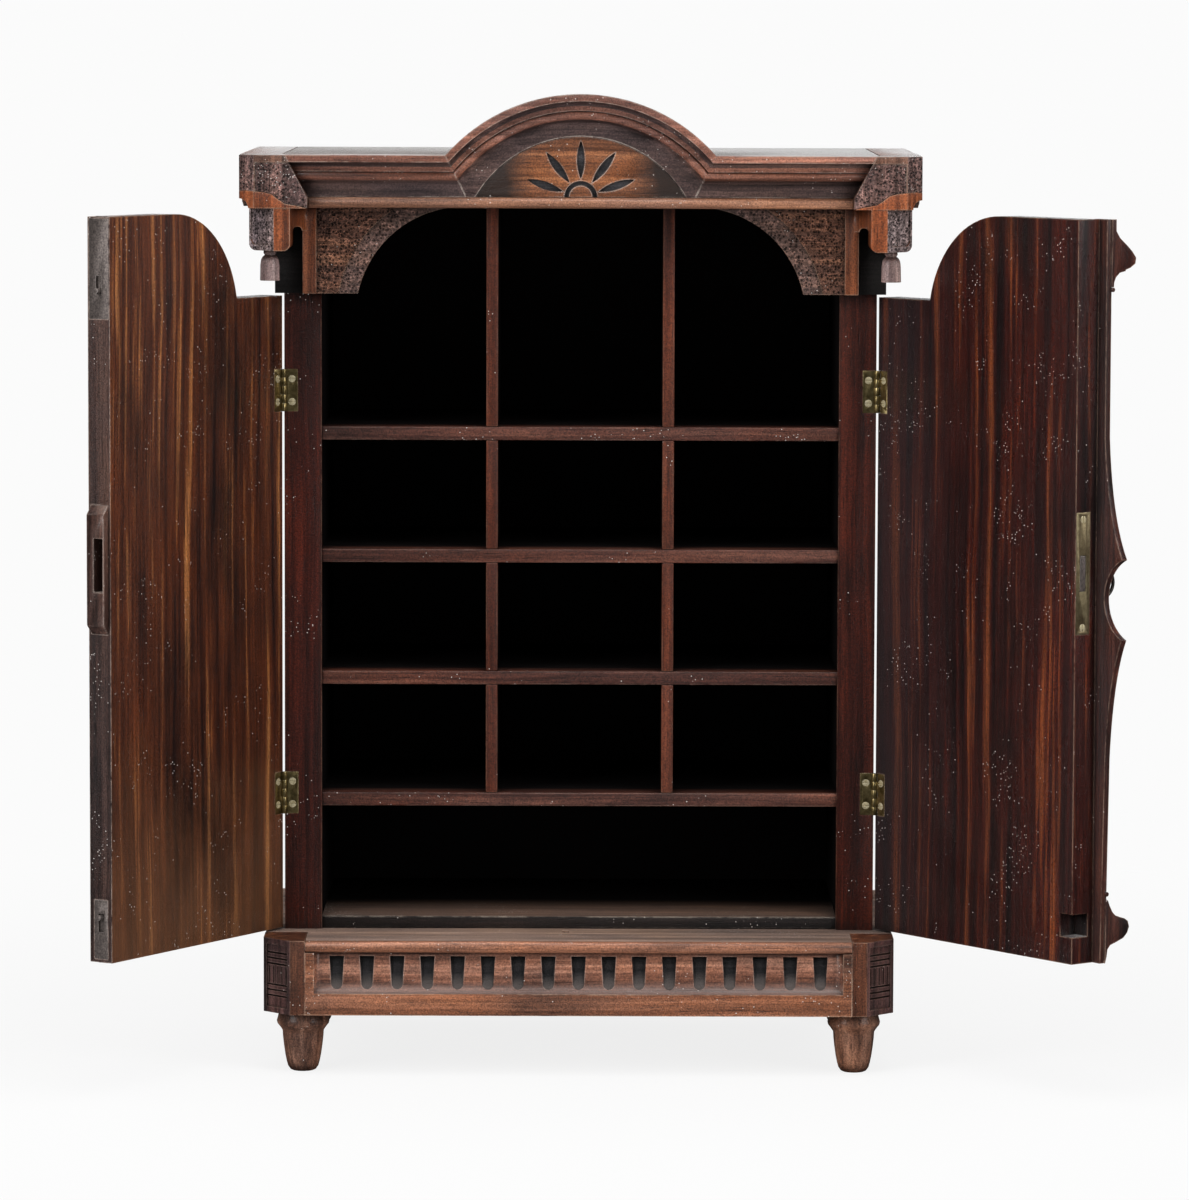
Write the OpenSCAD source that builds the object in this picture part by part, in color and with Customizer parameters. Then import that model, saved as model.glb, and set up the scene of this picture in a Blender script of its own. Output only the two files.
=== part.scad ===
// Small carved wall-and-table display case: pigeonholes behind two arched doors.
// Millimetres, +Z up. The front looks along -Y, and X = 0 is the meeting line of the doors.
// The origin is on the standing plane, under the middle of the case's depth.
// "f" is a distance forward of the case's front edges, and "s" a distance in from a corner.

/* [Case] */
// Width of the case over its two side boards
case_w = 350; // [320:1:380]
// Depth of the case, from its front edges to its back
case_d = 170; // [130:1:220]
// Thickness of a side board
side_t = 22; // [18:0.5:26]
// Height of a side board
side_h = 443.3; // [440:0.1:460]
// Thickness of the top board
top_t = 18; // [14:0.5:20]
// Thickness of the floor board
floor_t = 12; // [8:0.5:20]
// Height of the floor's top above the plinth
floor_rise = 7.5; // [3:0.1:10]
// How far the floor board stands back from the front edges
floor_setback = 3; // [1:0.5:10]
// Thickness of the back panel
back_t = 6; // [4:0.5:9]
// Width of the rebate in a side board that holds the back panel
back_lap = 9; // [4:0.5:14]

/* [Pigeonholes] */
// Thickness of a shelf
shelf_t = 8; // [6:0.5:10]
// Height of the lowest shelf's top above the plinth
shelf_rise = 81.7; // [60:0.1:90]
// Height from one shelf's top to the next
shelf_pitch = 72.7; // [60:0.1:74]
// Depth of the grooves in the side boards
groove_d = 4; // [2:0.5:8]
// Thickness of an upright divider
divider_t = 7; // [5:0.5:10]
// How far shelves and dividers stand back from the front edges
shelf_setback = 2; // [0.5:0.5:10]

/* [Plinth] */
// Height of the plinth
plinth_h = 44.1; // [42:0.1:50]
// How far the plinth stands out beside the case
plinth_out = 11; // [9:0.5:13]
// How far the plinth stands forward of the case
plinth_f = 50; // [48:1:56]
// Thickness of the plinth's front board
plinth_t = 20; // [18:0.5:24]
// Thickness of the plinth's back rail
plinth_back_t = 24; // [20:1:30]
// Thickness of the ledge board on the plinth
ledge_t = 7; // [5:0.1:8]
// How far the ledge board stands out over the frieze
ledge_out = 1; // [0.2:0.1:3]
// Height of the plain band along the plinth's foot
fascia_h = 12.9; // [10:0.1:16]
// Depth of the sunk frieze, which is also the radius of the cove at its foot and ends
frieze_depth = 5; // [3:0.1:7]
// Width left plain at each end of the frieze
frieze_margin = 5.4; // [3:0.1:8]
// Number of flutes in the frieze
flute_count = 17; // [9:1:19]
// Width left plain beyond the outer flutes, both ends together
flute_margin = 19.4; // [16:0.1:50]
// Width of a flute at its top
flute_w = 8.6; // [6:0.1:9.5]
// Width of a flute at its foot
flute_foot_w = 6.6; // [4:0.1:8]
// Distance of a flute's top below the ledge board
flute_drop = 2.4; // [1:0.1:4]
// Depth of a flute at its top, which runs out at its foot
flute_depth = 3.4; // [2:0.1:4]
// Size of a corner block along each face
block_w = 36; // [34:0.5:40]
// Width of a corner block's plain front face and cant
block_face = 25; // [23:0.5:28]
// Size of the cant cut off a corner block
block_cant = 16.2; // [12:0.1:18]
// Depth of the carved panel in the cant
panel_sink = 0.9; // [0.4:0.1:1.5]

/* [Feet] */
// Height of a foot
foot_h = 36; // [28:0.1:40]
// Radius of a foot's collar
collar_r = 15.6; // [14:0.1:18]
// Height of a foot's collar
collar_h = 12.2; // [11:0.1:13]
// Radius of a foot under its collar
cup_r = 12.2; // [10:0.1:13]
// Radius of the flat that the foot stands on
toe_r = 6.3; // [4:0.1:7]
// Distance of a foot's centre in from the plinth's faces
foot_inset = 23; // [20:0.5:26]

/* [Cornice] */
// Projection of the cornice beyond the case's front
cornice_f = 54; // [52:1:60]
// Height of the crown moulding
crown_h = 24.6; // [24:0.1:27]
// Depth of the crown moulding, which is also how far it stands out beside the case
crown_d = 24; // [22:0.5:26]
// Height of the top fillet
fillet_h = 4.1; // [3:0.1:6]
// Size of the cant on a cornice corner
cornice_cant = 8.8; // [6:0.1:12]
// Length of a carved corner block along each face
corner_len = 40; // [38:0.5:42]
// Slant of the moulding's end against the corner block
corner_slant = 13; // [6:0.5:16]
// Thickness of the bead bar under the crown moulding
bead_bar_t = 6.4; // [5:0.1:8]
// Projection of the bead bar
bead_bar_f = 43; // [40:0.5:46]
// Outer radius of the arched pediment
arch_r = 105; // [98:0.1:108]
// Drop from the cornice's top to the centre of the arch
arch_drop = 69.4; // [66:0.1:72]
// Radius of the opening in the pediment
opening_r = 71; // [69:0.1:73]
// Thickness of the sunburst panel
tympanum_t = 10; // [8:0.5:12]
// Radius of the half-round boss
boss_r = 7; // [5:0.1:9]
// Width of the groove round the boss
boss_groove = 2.6; // [1.5:0.1:3.5]
// Length of a carved ray
ray_len = 22; // [16:0.5:26]
// Greatest width of a carved ray
ray_w = 4.5; // [3:0.1:6]
// Distance from the boss's centre to the start of a ray
ray_start = 11; // [10:0.5:13]
// Depth of the carving
carve_depth = 1.6; // [0.8:0.1:2.5]

/* [Arch and corbels] */
// Thickness of the spandrel board
spandrel_t = 12; // [10:0.5:13]
// Height of the spandrel board under the bead bar
spandrel_h = 51.2; // [46:0.1:54]
// Radius of the arch over the doors
spandrel_r = 64.5; // [60:0.5:66]
// Distance of the arch's centre in from the case's side
arch_in = 107; // [105:0.5:115]
// Width of the sunk band along the arch
band_w = 11; // [5:0.5:13]
// Depth of the sunk band
band_t = 1.2; // [0.6:0.1:1.5]
// How far the spandrel board stands out beside the case
spandrel_out = 5; // [3:0.5:7]
// Depth of the low part of the spandrel board, behind the corbel
spandrel_low = 9; // [7:0.5:10]
// How far a corbel stands out beside the case
corbel_out = 18.5; // [15:0.5:19]
// Width of a corbel
corbel_w = 24.5; // [22:0.5:26]
// Projection of a corbel
corbel_f = 53.6; // [50:0.1:54]
// Drop of a corbel below the bead bar's underside
corbel_h = 24.8; // [20:0.1:28]
// Size of the cant on a corbel
corbel_cant = 15; // [10:0.5:17]
// Width of the slot beside a corbel
slot_w = 5.6; // [3:0.1:6]
// Depth of the slot's round top below the bead bar's underside
slot_drop = 11.5; // [9:0.5:13]
// Width of the plain strip beside the slot
strip_w = 8.1; // [7:0.1:11]
// Radius of a tassel's skirt
tassel_r = 5.8; // [4:0.1:6]
// Height of a tassel
tassel_h = 18; // [15:0.1:21]
// Distance of a tassel forward of the case's front
tassel_f = 32; // [28:0.5:36]

/* [Doors] */
// Thickness of a door
door_t = 15.5; // [14.5:0.1:17]
// Gap between a closed door and the case's front edges
door_gap = 1; // [0.8:0.1:1.5]
// Gap between a door's foot and the plinth
sill_gap = 1; // [0.8:0.1:2]
// Gap between the doors and the arch over them
arch_gap = 2.3; // [2:0.1:3]
// Gap between the left door's edge and the meeting line
left_gap = 5; // [4.8:0.1:6]
// Gap between the right door's edge and the meeting line
right_gap = 0.5; // [0.3:0.1:1]
// How far the left door stands open, as photographed
left_open = 122.2; // [60:0.1:175]
// How far the right door stands open, as photographed
right_open = 127.7; // [60:0.1:175]

/* [Strike block and cover strip] */
// Height of the strike block
strike_h = 74; // [70:0.5:80]
// Height of the strike block's middle above the plinth
strike_rise = 227; // [220:0.5:234]
// How far the strike block stands out of the door's edge
strike_out = 4.4; // [3:0.1:4.6]
// How far the strike block is let into the door
strike_in = 6; // [4:0.5:8]
// Thickness of the strike block
strike_t = 12; // [10:0.5:13.5]
// Thickness of the cover strip
strip_t = 4.2; // [3:0.1:6]
// Half the width of the cover strip's plain run
strip_x = 6; // [4:0.1:7]
// Half the width of the cover strip at the tips of its notch
tip_x = 21.5; // [19:0.5:24]
// Half the width of the cover strip at its waist
waist_x = 6.5; // [3:0.1:7]
// Radius of the notch beside the keyhole
notch_r = 25.1; // [24:0.1:28]
// Height over which the strip flares out towards the notch
flare_h = 92; // [80:1:100]
// Height of the notch's centre above the plinth
notch_rise = 211.6; // [205:0.5:218]
// Air between the cover strip and the left door
strip_air = 0.4; // [0.3:0.1:1]
// Width of a nose bracket
nose_w = 15; // [10:0.5:18]
// Projection of a nose bracket from the strip's face
nose_f = 17.4; // [15:0.1:19]
// Height of a nose bracket
nose_h = 40; // [39:0.5:44]

/* [Hinges] */
// Height of a hinge
hinge_h = 25; // [20:0.5:30]
// Radius of a hinge knuckle
knuckle_r = 1.7; // [1.5:0.05:2]
// Radius of a hinge pin
pin_r = 0.8; // [0.6:0.05:1]
// Clearance round a pin, and between one knuckle and the next
pin_clear = 0.06; // [0.02:0.01:0.1]
// Width of a hinge leaf from the pin's centre
leaf_w = 8.5; // [7.5:0.1:10]
// Thickness of a hinge leaf
leaf_t = 1.1; // [0.8:0.05:1.4]
// Height of the upper hinge's middle above the plinth
upper_rise = 321.3; // [300:0.5:340]
// Height of the lower hinge's middle above the plinth
lower_rise = 81.7; // [70:0.5:110]
// Radius of a screw head
head_r = 2.1; // [1.6:0.1:2.4]
// Radius of a screw's shank
shank_r = 1; // [0.7:0.1:1.2]
// Length of a screw
screw_len = 9; // [6:0.5:10]
// Half the distance between a leaf's two screws
screw_half = 6.8; // [5:0.1:7.5]

/* [Lock] */
// Height of the lock plate
plate_h = 70; // [64:0.5:76]
// Width of the lock plate
plate_w = 10.5; // [9.5:0.1:11.5]
// Thickness of the lock plate
plate_t = 1.5; // [1:0.1:2]
// Height of the lock plate's middle above the plinth
plate_rise = 226; // [222:0.5:230]
// Thickness of the lock case
lock_t = 8; // [7.8:0.1:8.4]
// Wall of the lock case
lock_wall = 1.2; // [1:0.1:1.4]
// Distance of the key's centre from the door's edge
backset = 19; // [18:0.5:20]
// Height of the key's centre below the lock plate's middle
key_drop = 8.5; // [8:0.1:9.5]
// Thickness of the bolt
bolt_t = 4; // [3.5:0.1:4.4]
// Height of the bolt's head
bolt_h = 20; // [18:0.5:22]
// Throw of the bolt
bolt_throw = 8; // [6:0.1:8]
// Running clearance of the bolt and of the edge bolts
slide_clear = 0.35; // [0.3:0.05:0.5]

/* [Key] */
// Radius of the key's shank
key_r = 2.2; // [1.8:0.1:2.4]
// Running clearance of the key in the lock case
key_fit = 0.08; // [0.03:0.01:0.1]
// Reach of the key's bit from the key's centre
bit_r = 7; // [6.5:0.1:7.2]
// Thickness of the key's bit
bit_t = 1.8; // [1.4:0.1:2]
// Outer radius of the key's bow
bow_r = 9.5; // [8:0.1:11]
// Thickness of the bow's wire
bow_wire = 2; // [1.6:0.1:2.4]
// Distance of the bow's centre in front of the door
bow_f = 22.5; // [13:0.5:26]

/* [Edge bolts] */
// Width of an edge bolt
edge_bolt_w = 6.3; // [5:0.1:6.5]
// Thickness of an edge bolt
edge_bolt_t = 2.6; // [2:0.1:3]
// Length of the lower edge bolt
edge_bolt_len = 33; // [30:0.5:40]
// Length of the upper edge bolt
top_bolt_len = 53; // [50:0.5:55]
// Throw of an edge bolt
edge_throw = 6.5; // [5:0.1:7]
// Width of the lower edge bolt's plate
edge_plate_w = 9.4; // [8:0.1:10]
// Height of the lower edge bolt's plate
edge_plate_h = 34; // [32:0.5:42]
// Width of the upper edge bolt's plate
top_plate_w = 13.5; // [11:0.1:14]
// Height of the upper edge bolt's plate
top_plate_h = 57; // [54:0.5:60]
// Thickness of an edge bolt's plate
edge_plate_t = 1.2; // [1:0.1:1.5]
// Width of the rough pocket in the right door's back
pocket_w = 10; // [8:0.5:14]
// Depth of the rough pocket, from the door's back
pocket_d = 12; // [8:0.5:13]
// Radius of an edge bolt's thumb lug
lug_r = 1.6; // [1.2:0.1:2]
// Height of the lower thumb lug from its plate's foot, with the bolt drawn back
lug_rise = 24; // [20:0.1:26]
// Drop of the upper thumb lug from its plate's top, with the bolt drawn back
lug_drop = 41; // [36:0.1:43]
// How far the thumb lug stands out of the door's edge
lug_out = 3; // [2:0.1:3.4]

/* [Hidden] */
$fn = 64;

// colours, as photographed
WALNUT = [0.27, 0.13, 0.08];
DARK_WALNUT = [0.17, 0.08, 0.06];
AMBER_WALNUT = [0.42, 0.22, 0.11];
BRASS = [0.55, 0.47, 0.22];
STEEL = [0.25, 0.24, 0.22];

// heights
plinth_z = foot_h + plinth_h;
ledge_z = plinth_z - ledge_t;
side_z = plinth_z + side_h;
top_z = side_z + top_t;
crown_z = top_z - crown_h;
header_z = crown_z - bead_bar_t;
spandrel_z = header_z - spandrel_h;
shelf_1_z = plinth_z + shelf_rise;

// half widths and depths
case_x = case_w / 2;
cornice_x = case_x + crown_d;
bead_bar_x = cornice_x - corner_len;
inner_x = case_x - side_t;
arch_x = case_x - arch_in;
spandrel_x = case_x + spandrel_out;
corbel_x = case_x + corbel_out;
plinth_x = case_x + plinth_out;
front_y = -case_d / 2;
back_y = case_d / 2;
panel_y = back_y - back_t;
column_w = (2 * inner_x - 2 * divider_t) / 3;
divider_x = (column_w + divider_t) / 2;

// a hair that lets a cutter pass a face
over = 0.1;

// y of a plane that stands f forward of the case's front edges
function fy(f) = front_y - f;

// a box from x0 to x1, from f0 to f1 forward of the case's front, and from z0 to z1
module block(x0, x1, f0, f1, z0, z1) {
    translate([x0, fy(f1), z0]) cube([x1 - x0, f1 - f0, z1 - z0]);
}

// an outline drawn in X and Z, from f0 to f1 forward of the case's front
module slab(f0, f1) {
    translate([0, fy(f0), 0]) rotate([90, 0, 0]) linear_extrude(f1 - f0) children();
}

// an outline drawn in Y and Z, carried along X
module along_x(x0, x1) {
    translate([x0, 0, 0]) rotate([90, 0, 90]) linear_extrude(x1 - x0) children();
}

// a cutter for a cant of the given size, once it is turned to face the corner
module cant_cutter(cant, height) {
    translate([-2 * cant, -2 * cant, 0]) cube([4 * cant, (2 + sqrt(0.5)) * cant, height]);
}

// the child on the right, mirrored from the left
module on_right() {
    mirror([1, 0, 0]) children();
}

/* ---- case ---- */

// grooves for the shelves, as deep as groove_d, up to the back panel
module shelf_slab(i, half_w) {
    z = shelf_1_z + (i - 1) * shelf_pitch;
    translate([-half_w, front_y + shelf_setback, z - shelf_t])
        cube([2 * half_w, panel_y - front_y - shelf_setback, shelf_t]);
}

module shelf(i) {
    color(DARK_WALNUT) shelf_slab(i, inner_x + groove_d);
}

module left_side() {
    color(WALNUT) difference() {
        block(-case_x, -inner_x, -case_d, 0, plinth_z, side_z);
        for (i = [1:4]) shelf_slab(i, inner_x + groove_d);
        floor_slab();
        back_slab();
        left_hinge_seats();
        left_case_screw_holes();
    }
}

module right_side() {
    color(WALNUT) difference() {
        block(inner_x, case_x, -case_d, 0, plinth_z, side_z);
        for (i = [1:4]) shelf_slab(i, inner_x + groove_d);
        floor_slab();
        back_slab();
        on_right() left_hinge_seats();
        on_right() left_case_screw_holes();
    }
}

// the floor board lies in grooves like the shelves
module floor_slab() {
    floor_z = plinth_z + floor_rise;
    translate([-inner_x - groove_d, front_y + floor_setback, max(plinth_z, floor_z - floor_t)])
        cube([2 * (inner_x + groove_d), panel_y - front_y - floor_setback, min(floor_t, floor_rise)]);
}

module floor_board() {
    color(DARK_WALNUT) floor_slab();
}

module back_slab() {
    translate([-inner_x - back_lap, panel_y, plinth_z])
        cube([2 * (inner_x + back_lap), back_t, side_h]);
}

module back_panel() {
    color(DARK_WALNUT) back_slab();
}

module top_board() {
    color(WALNUT) block(-case_x, case_x, -case_d, cornice_f - crown_d, side_z, top_z);
}

// one upright between two shelves, or between the highest shelf and the top board
module divider(i, side) {
    z0 = shelf_1_z + (i - 1) * shelf_pitch;
    z1 = i < 4 ? z0 + shelf_pitch - shelf_t : side_z;
    color(DARK_WALNUT) translate([side * divider_x - divider_t / 2, front_y + shelf_setback, z0])
        cube([divider_t, panel_y - front_y - shelf_setback, z1 - z0]);
}

/* ---- plinth ---- */

frieze_z = foot_h + fascia_h;
plain_x = plinth_x - block_face;
frieze_x = plain_x - frieze_margin;
flute_pitch = (2 * plain_x - flute_margin) / flute_count;

// the sunk field of the frieze, open at its top; the coves of its foot and ends meet in a mitre
module frieze_sink() {
    r = frieze_depth;
    cove_z = frieze_z + r;
    run = frieze_x - r;
    block(-run, run, plinth_f - r, plinth_f + over, cove_z, ledge_z + over);
    translate([-run, fy(plinth_f), cove_z]) rotate([0, 90, 0]) cylinder(r = r, h = 2 * run);
    for (side = [-1, 1]) translate([side * run, fy(plinth_f), cove_z]) {
        cylinder(r = r, h = ledge_z + over - cove_z);
        intersection() {
            translate([0, 0, -r]) cylinder(r = r, h = 2 * r);
            translate([-r, 0, 0]) rotate([0, 90, 0]) cylinder(r = r, h = 2 * r);
        }
    }
}

// one tapered flute: cut square and deep at its top, round and shallow at its foot
module flute(i) {
    x = (i - (flute_count - 1) / 2) * flute_pitch;
    z1 = ledge_z - flute_drop;
    z0 = frieze_z + frieze_depth * 0.4 + flute_foot_w / 2;
    ground = plinth_f - frieze_depth;
    lean = atan(flute_depth / (z1 - z0 + flute_foot_w / 2));
    intersection() {
        slab(ground - flute_depth - 1, plinth_f + over) union() {
            polygon([
                [x - flute_w / 2, z1], [x - flute_foot_w / 2, z0],
                [x + flute_foot_w / 2, z0], [x + flute_w / 2, z1]
            ]);
            translate([x, z0]) circle(r = flute_foot_w / 2);
        }
        translate([x, fy(ground - flute_depth), z1]) rotate([-lean, 0, 0])
            translate([-flute_w, -3 * frieze_depth, -2 * (z1 - z0)])
                cube([2 * flute_w, 3 * frieze_depth, 3 * (z1 - z0)]);
    }
}

module plinth_front() {
    color(AMBER_WALNUT) difference() {
        block(-plain_x, plain_x, plinth_f - plinth_t, plinth_f, foot_h, ledge_z);
        frieze_sink();
        for (i = [0:flute_count - 1]) flute(i);
    }
}

// the ledge board has a half-round front edge between the corner blocks
module plinth_ledge() {
    bead_r = ledge_t / 2;
    bead_f = plinth_f + ledge_out - bead_r;
    side_f = plinth_f - block_w;
    color(WALNUT) difference() {
        union() {
            block(-plinth_x, plinth_x, -case_d, side_f, ledge_z, plinth_z);
            block(-plain_x, plain_x, side_f, bead_f, ledge_z, plinth_z);
            translate([-plain_x, fy(bead_f), ledge_z + bead_r])
                rotate([0, 90, 0]) cylinder(r = bead_r, h = 2 * plain_x);
        }
        bottom_bolt_hole();
    }
}

module plinth_side() {
    color(WALNUT) translate([-plinth_x, fy(plinth_f - block_w), foot_h])
        cube([plinth_t, case_d + plinth_f - block_w - plinth_back_t, ledge_z - foot_h]);
}

module plinth_back() {
    color(DARK_WALNUT) translate([-plinth_x, back_y - plinth_back_t, foot_h])
        cube([2 * plinth_x, plinth_back_t, ledge_z - foot_h]);
}

// the grooves of the key-pattern panel, drawn on the cant: across, up, and a frame between
module panel_grooves() {
    width = block_cant * sqrt(2) - 5;
    height = plinth_h - 7;
    groove = 0.9;
    rung = height / 9;
    for (k = [1.5, 2.3, 3.1, 6.1, 6.9, 7.7])
        translate([-width / 2, -carve_depth, k * rung]) cube([width, 2 * carve_depth, groove]);
    for (k = [-2:2])
        translate([k * width / 5 - groove / 2, -carve_depth, 3.4 * rung])
            cube([groove, 2 * carve_depth, 2.5 * rung]);
}

module plinth_corner() {
    x0 = -plinth_x;
    f1 = plinth_f;
    half_cant = block_cant / 2;
    color(AMBER_WALNUT) difference() {
        union() {
            block(x0, x0 + block_w, f1 - block_w, f1 - plinth_t, foot_h, ledge_z);
            block(x0, x0 + block_face, f1 - block_w, f1, foot_h, plinth_z);
        }
        translate([x0, fy(f1), foot_h - over]) rotate([0, 0, -45])
            cant_cutter(block_cant, plinth_h + 2 * over);
        translate([x0 + half_cant, fy(f1 - half_cant), foot_h + 3.5]) rotate([0, 0, -45])
            translate([-(block_cant * sqrt(2) - 5) / 2, -over, 0])
                cube([block_cant * sqrt(2) - 5, over + panel_sink, plinth_h - 7]);
        translate([x0 + half_cant, fy(f1 - half_cant), foot_h + 3.5]) rotate([0, 0, -45])
            translate([0, panel_sink, 0]) panel_grooves();
    }
}

// a turned foot, from its flat toe to its neck over the collar
module foot() {
    collar_z = foot_h - collar_h;
    color(AMBER_WALNUT) rotate_extrude() polygon([
        [0, 0], [toe_r, 0], [toe_r + 1.3, 0.6], [toe_r + 2.7, 2.6], [toe_r + 3.5, 5.5],
        [cup_r - 1.6, collar_z * 0.4], [cup_r - 0.8, collar_z * 0.63], [cup_r - 0.2, collar_z * 0.86],
        [cup_r, collar_z], [cup_r + 0.7, collar_z + 1.2], [collar_r - 1.6, collar_z + 2.7],
        [collar_r - 0.4, collar_z + 4.2], [collar_r, collar_z + 5.8], [collar_r - 0.6, collar_z + 8],
        [collar_r - 1.6, foot_h], [0, foot_h]
    ]);
}

module front_foot(side) {
    translate([side * (plinth_x - foot_inset), fy(plinth_f - foot_inset), 0]) foot();
}

module rear_foot(side) {
    translate([side * (plinth_x - foot_inset), back_y - foot_inset, 0]) foot();
}

/* ---- cornice ---- */

// the crown moulding's section: [distance in from the front, drop from the top]
cavetto_r = 5.5;
round_r = 2.55;
cove_top = fillet_h + cavetto_r + 2 * round_r + 0.5;
cove_end = 13.5;
CROWN = concat(
    [[crown_d, 0], [0, 0], [0, fillet_h]],
    [for (a = [0:15:90]) [1 + cavetto_r * sin(a), fillet_h + cavetto_r * (1 - cos(a))]],
    [for (a = [0:20:180]) [8.5 - round_r * sin(a), fillet_h + cavetto_r + round_r * (1 - cos(a))]],
    [for (a = [0:15:90]) [9.3 + (cove_end - 9.3) * sin(a), crown_h - (crown_h - cove_top) * cos(a)]],
    [[crown_d, crown_h]]
);

// places of the valley where the straight moulding meets the arch
arch_z = top_z - arch_drop;
valley_top = sqrt(pow(arch_r, 2) - pow(arch_drop, 2));
valley_foot = sqrt(pow(arch_r - crown_h, 2) - pow(arch_drop - crown_h, 2));
corner_top = cornice_x - corner_len + corner_slant;
corner_foot = cornice_x - corner_len;

module cornice_front() {
    color(WALNUT) intersection() {
        along_x(-cornice_x, 0)
            polygon([for (p = CROWN) [fy(cornice_f - p[0]), top_z - p[1]]]);
        slab(0, cornice_f + over) polygon([
            [-corner_top, top_z], [-valley_top, top_z], [-valley_foot, crown_z], [-corner_foot, crown_z]
        ]);
    }
}

// a side run follows the same section, from the corner block to the back
module cornice_side() {
    color(WALNUT) intersection() {
        slab(-case_d, cornice_f)
            polygon([for (p = CROWN) [-cornice_x + p[0], top_z - p[1]]]);
        along_x(-cornice_x - over, 0) polygon([
            [fy(cornice_f - corner_len + corner_slant), top_z], [back_y, top_z], [back_y, crown_z],
            [fy(cornice_f - corner_len), crown_z]
        ]);
    }
}

// the opening for the sunburst panel is a rounder arc than the moulding's
opening_z = crown_z + arch_r - arch_drop - opening_r;
opening_x = sqrt(pow(opening_r, 2) - pow(crown_z - opening_z, 2));

// the section's foot reaches further in, to the opening
module pediment_arch() {
    reach = crown_h + 6;
    color(WALNUT) intersection() {
        translate([0, front_y, arch_z]) rotate([90, 0, 0]) rotate_extrude(angle = 180, $fn = 120)
            polygon(concat(
                [for (i = [0:len(CROWN) - 2]) [arch_r - CROWN[i][1], cornice_f - CROWN[i][0]]],
                [[arch_r - reach, cornice_f - cove_end], [arch_r - reach, cornice_f - crown_d]]
            ));
        slab(0, cornice_f + over) polygon([
            [-valley_foot, crown_z], [valley_foot, crown_z], [valley_top, top_z],
            [arch_r + 1, top_z], [arch_r + 1, arch_z + arch_r + 1],
            [-arch_r - 1, arch_z + arch_r + 1], [-arch_r - 1, top_z], [-valley_top, top_z]
        ]);
        slab(0, cornice_f + over) difference() {
            translate([-arch_r - 1, crown_z]) square([2 * arch_r + 2, 2 * arch_r]);
            translate([0, opening_z]) circle(r = opening_r, $fn = 120);
        }
    }
}

// a lens with pointed ends, as a gouge leaves it, along +X from the origin
module ray() {
    bow = (pow(ray_len / 2, 2) + pow(ray_w / 2, 2)) / ray_w;
    translate([ray_len / 2, 0]) intersection() {
        translate([0, bow - ray_w / 2]) circle(r = bow, $fn = 96);
        translate([0, -bow + ray_w / 2]) circle(r = bow, $fn = 96);
    }
}

module tympanum() {
    face = cornice_f - crown_d + tympanum_t;
    color(AMBER_WALNUT) difference() {
        slab(cornice_f - crown_d, face) intersection() {
            translate([0, opening_z]) circle(r = opening_r, $fn = 120);
            translate([-opening_x, crown_z]) square([2 * opening_x, opening_r]);
        }
        slab(face - carve_depth, face + over) translate([0, crown_z]) {
            difference() {
                circle(r = boss_r + boss_groove);
                circle(r = boss_r);
            }
            for (a = [18.5, 52.5, 90, 127.5, 161.5]) rotate(a) translate([ray_start, 0]) ray();
        }
    }
}

// the bead bar closes the gap between the case's mouth and the crown moulding
module bead_bar() {
    r = bead_bar_t / 2;
    color(AMBER_WALNUT) difference() {
        union() {
            block(-bead_bar_x, bead_bar_x, 0, bead_bar_f - r, header_z, crown_z);
            block(-case_x, case_x, 0, cornice_f - crown_d, header_z, side_z);
            translate([-bead_bar_x, fy(bead_bar_f - r), header_z + r])
                rotate([0, 90, 0]) cylinder(r = r, h = 2 * bead_bar_x);
        }
        top_bolt_hole();
    }
}

// the scrolled line under the punched ground: [distance in from the corner, height over the bead bar's foot]
SCROLL = [[35, 1.3], [27, 2.7], [23, 5.3], [19.5, 8.1], [14.5, 9.4], [0, 10.6]];

// the front outline of a corner block, above the scrolled line
module corner_outline() {
    polygon(concat(
        [[0, top_z], [corner_len - corner_slant, top_z], [corner_len, crown_z], [corner_len, header_z]],
        [for (p = SCROLL) [p[0], header_z + p[1]]]
    ));
}

// the two arms of an outline, along the front and along the side
module corner_arms() {
    slab(cornice_f - crown_d, cornice_f) translate([-cornice_x, 0]) children();
    along_x(-cornice_x, -cornice_x + crown_d) translate([fy(cornice_f), 0]) children();
}

// the punched ground is sunk under the top fillet, and the cant stays proud between its two fields
module cornice_corner() {
    sink = 0.8;
    field_z = top_z - fillet_h - 0.4;
    field_s = cornice_cant + 1;
    color(WALNUT) difference() {
        corner_arms() corner_outline();
        translate([-cornice_x, fy(cornice_f), header_z - over]) rotate([0, 0, -45])
            cant_cutter(cornice_cant, top_z - header_z + 2 * over);
        block(-cornice_x + field_s, -cornice_x + corner_len + over, cornice_f - sink, cornice_f + over,
            header_z - over, field_z);
        block(-cornice_x - over, -cornice_x + sink, cornice_f - corner_len - over, cornice_f - field_s,
            header_z - over, field_z);
    }
}

/* ---- arch over the doors, corbels and tassels ---- */

arch_c_z = header_z - spandrel_r;
slot_x = corbel_x - corbel_w;
strip_edge = slot_x - slot_w;
strip_in = strip_edge - strip_w;

// the board outline, with the quarter arch cut out
module spandrel_outline(outer, grow) {
    difference() {
        translate([-outer, spandrel_z]) square([outer - arch_x, spandrel_h]);
        translate([-arch_x, arch_c_z]) circle(r = spandrel_r + grow, $fn = 120);
    }
}

module spandrel() {
    color(WALNUT) {
        slab(0, spandrel_low) spandrel_outline(spandrel_x, 0);
        slab(spandrel_low, spandrel_t) spandrel_outline(strip_in, 0);
        slab(spandrel_t, spandrel_t + band_t) difference() {
            spandrel_outline(strip_in, 0);
            translate([-arch_x, arch_c_z]) circle(r = spandrel_r + band_w, $fn = 120);
        }
    }
}

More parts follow.
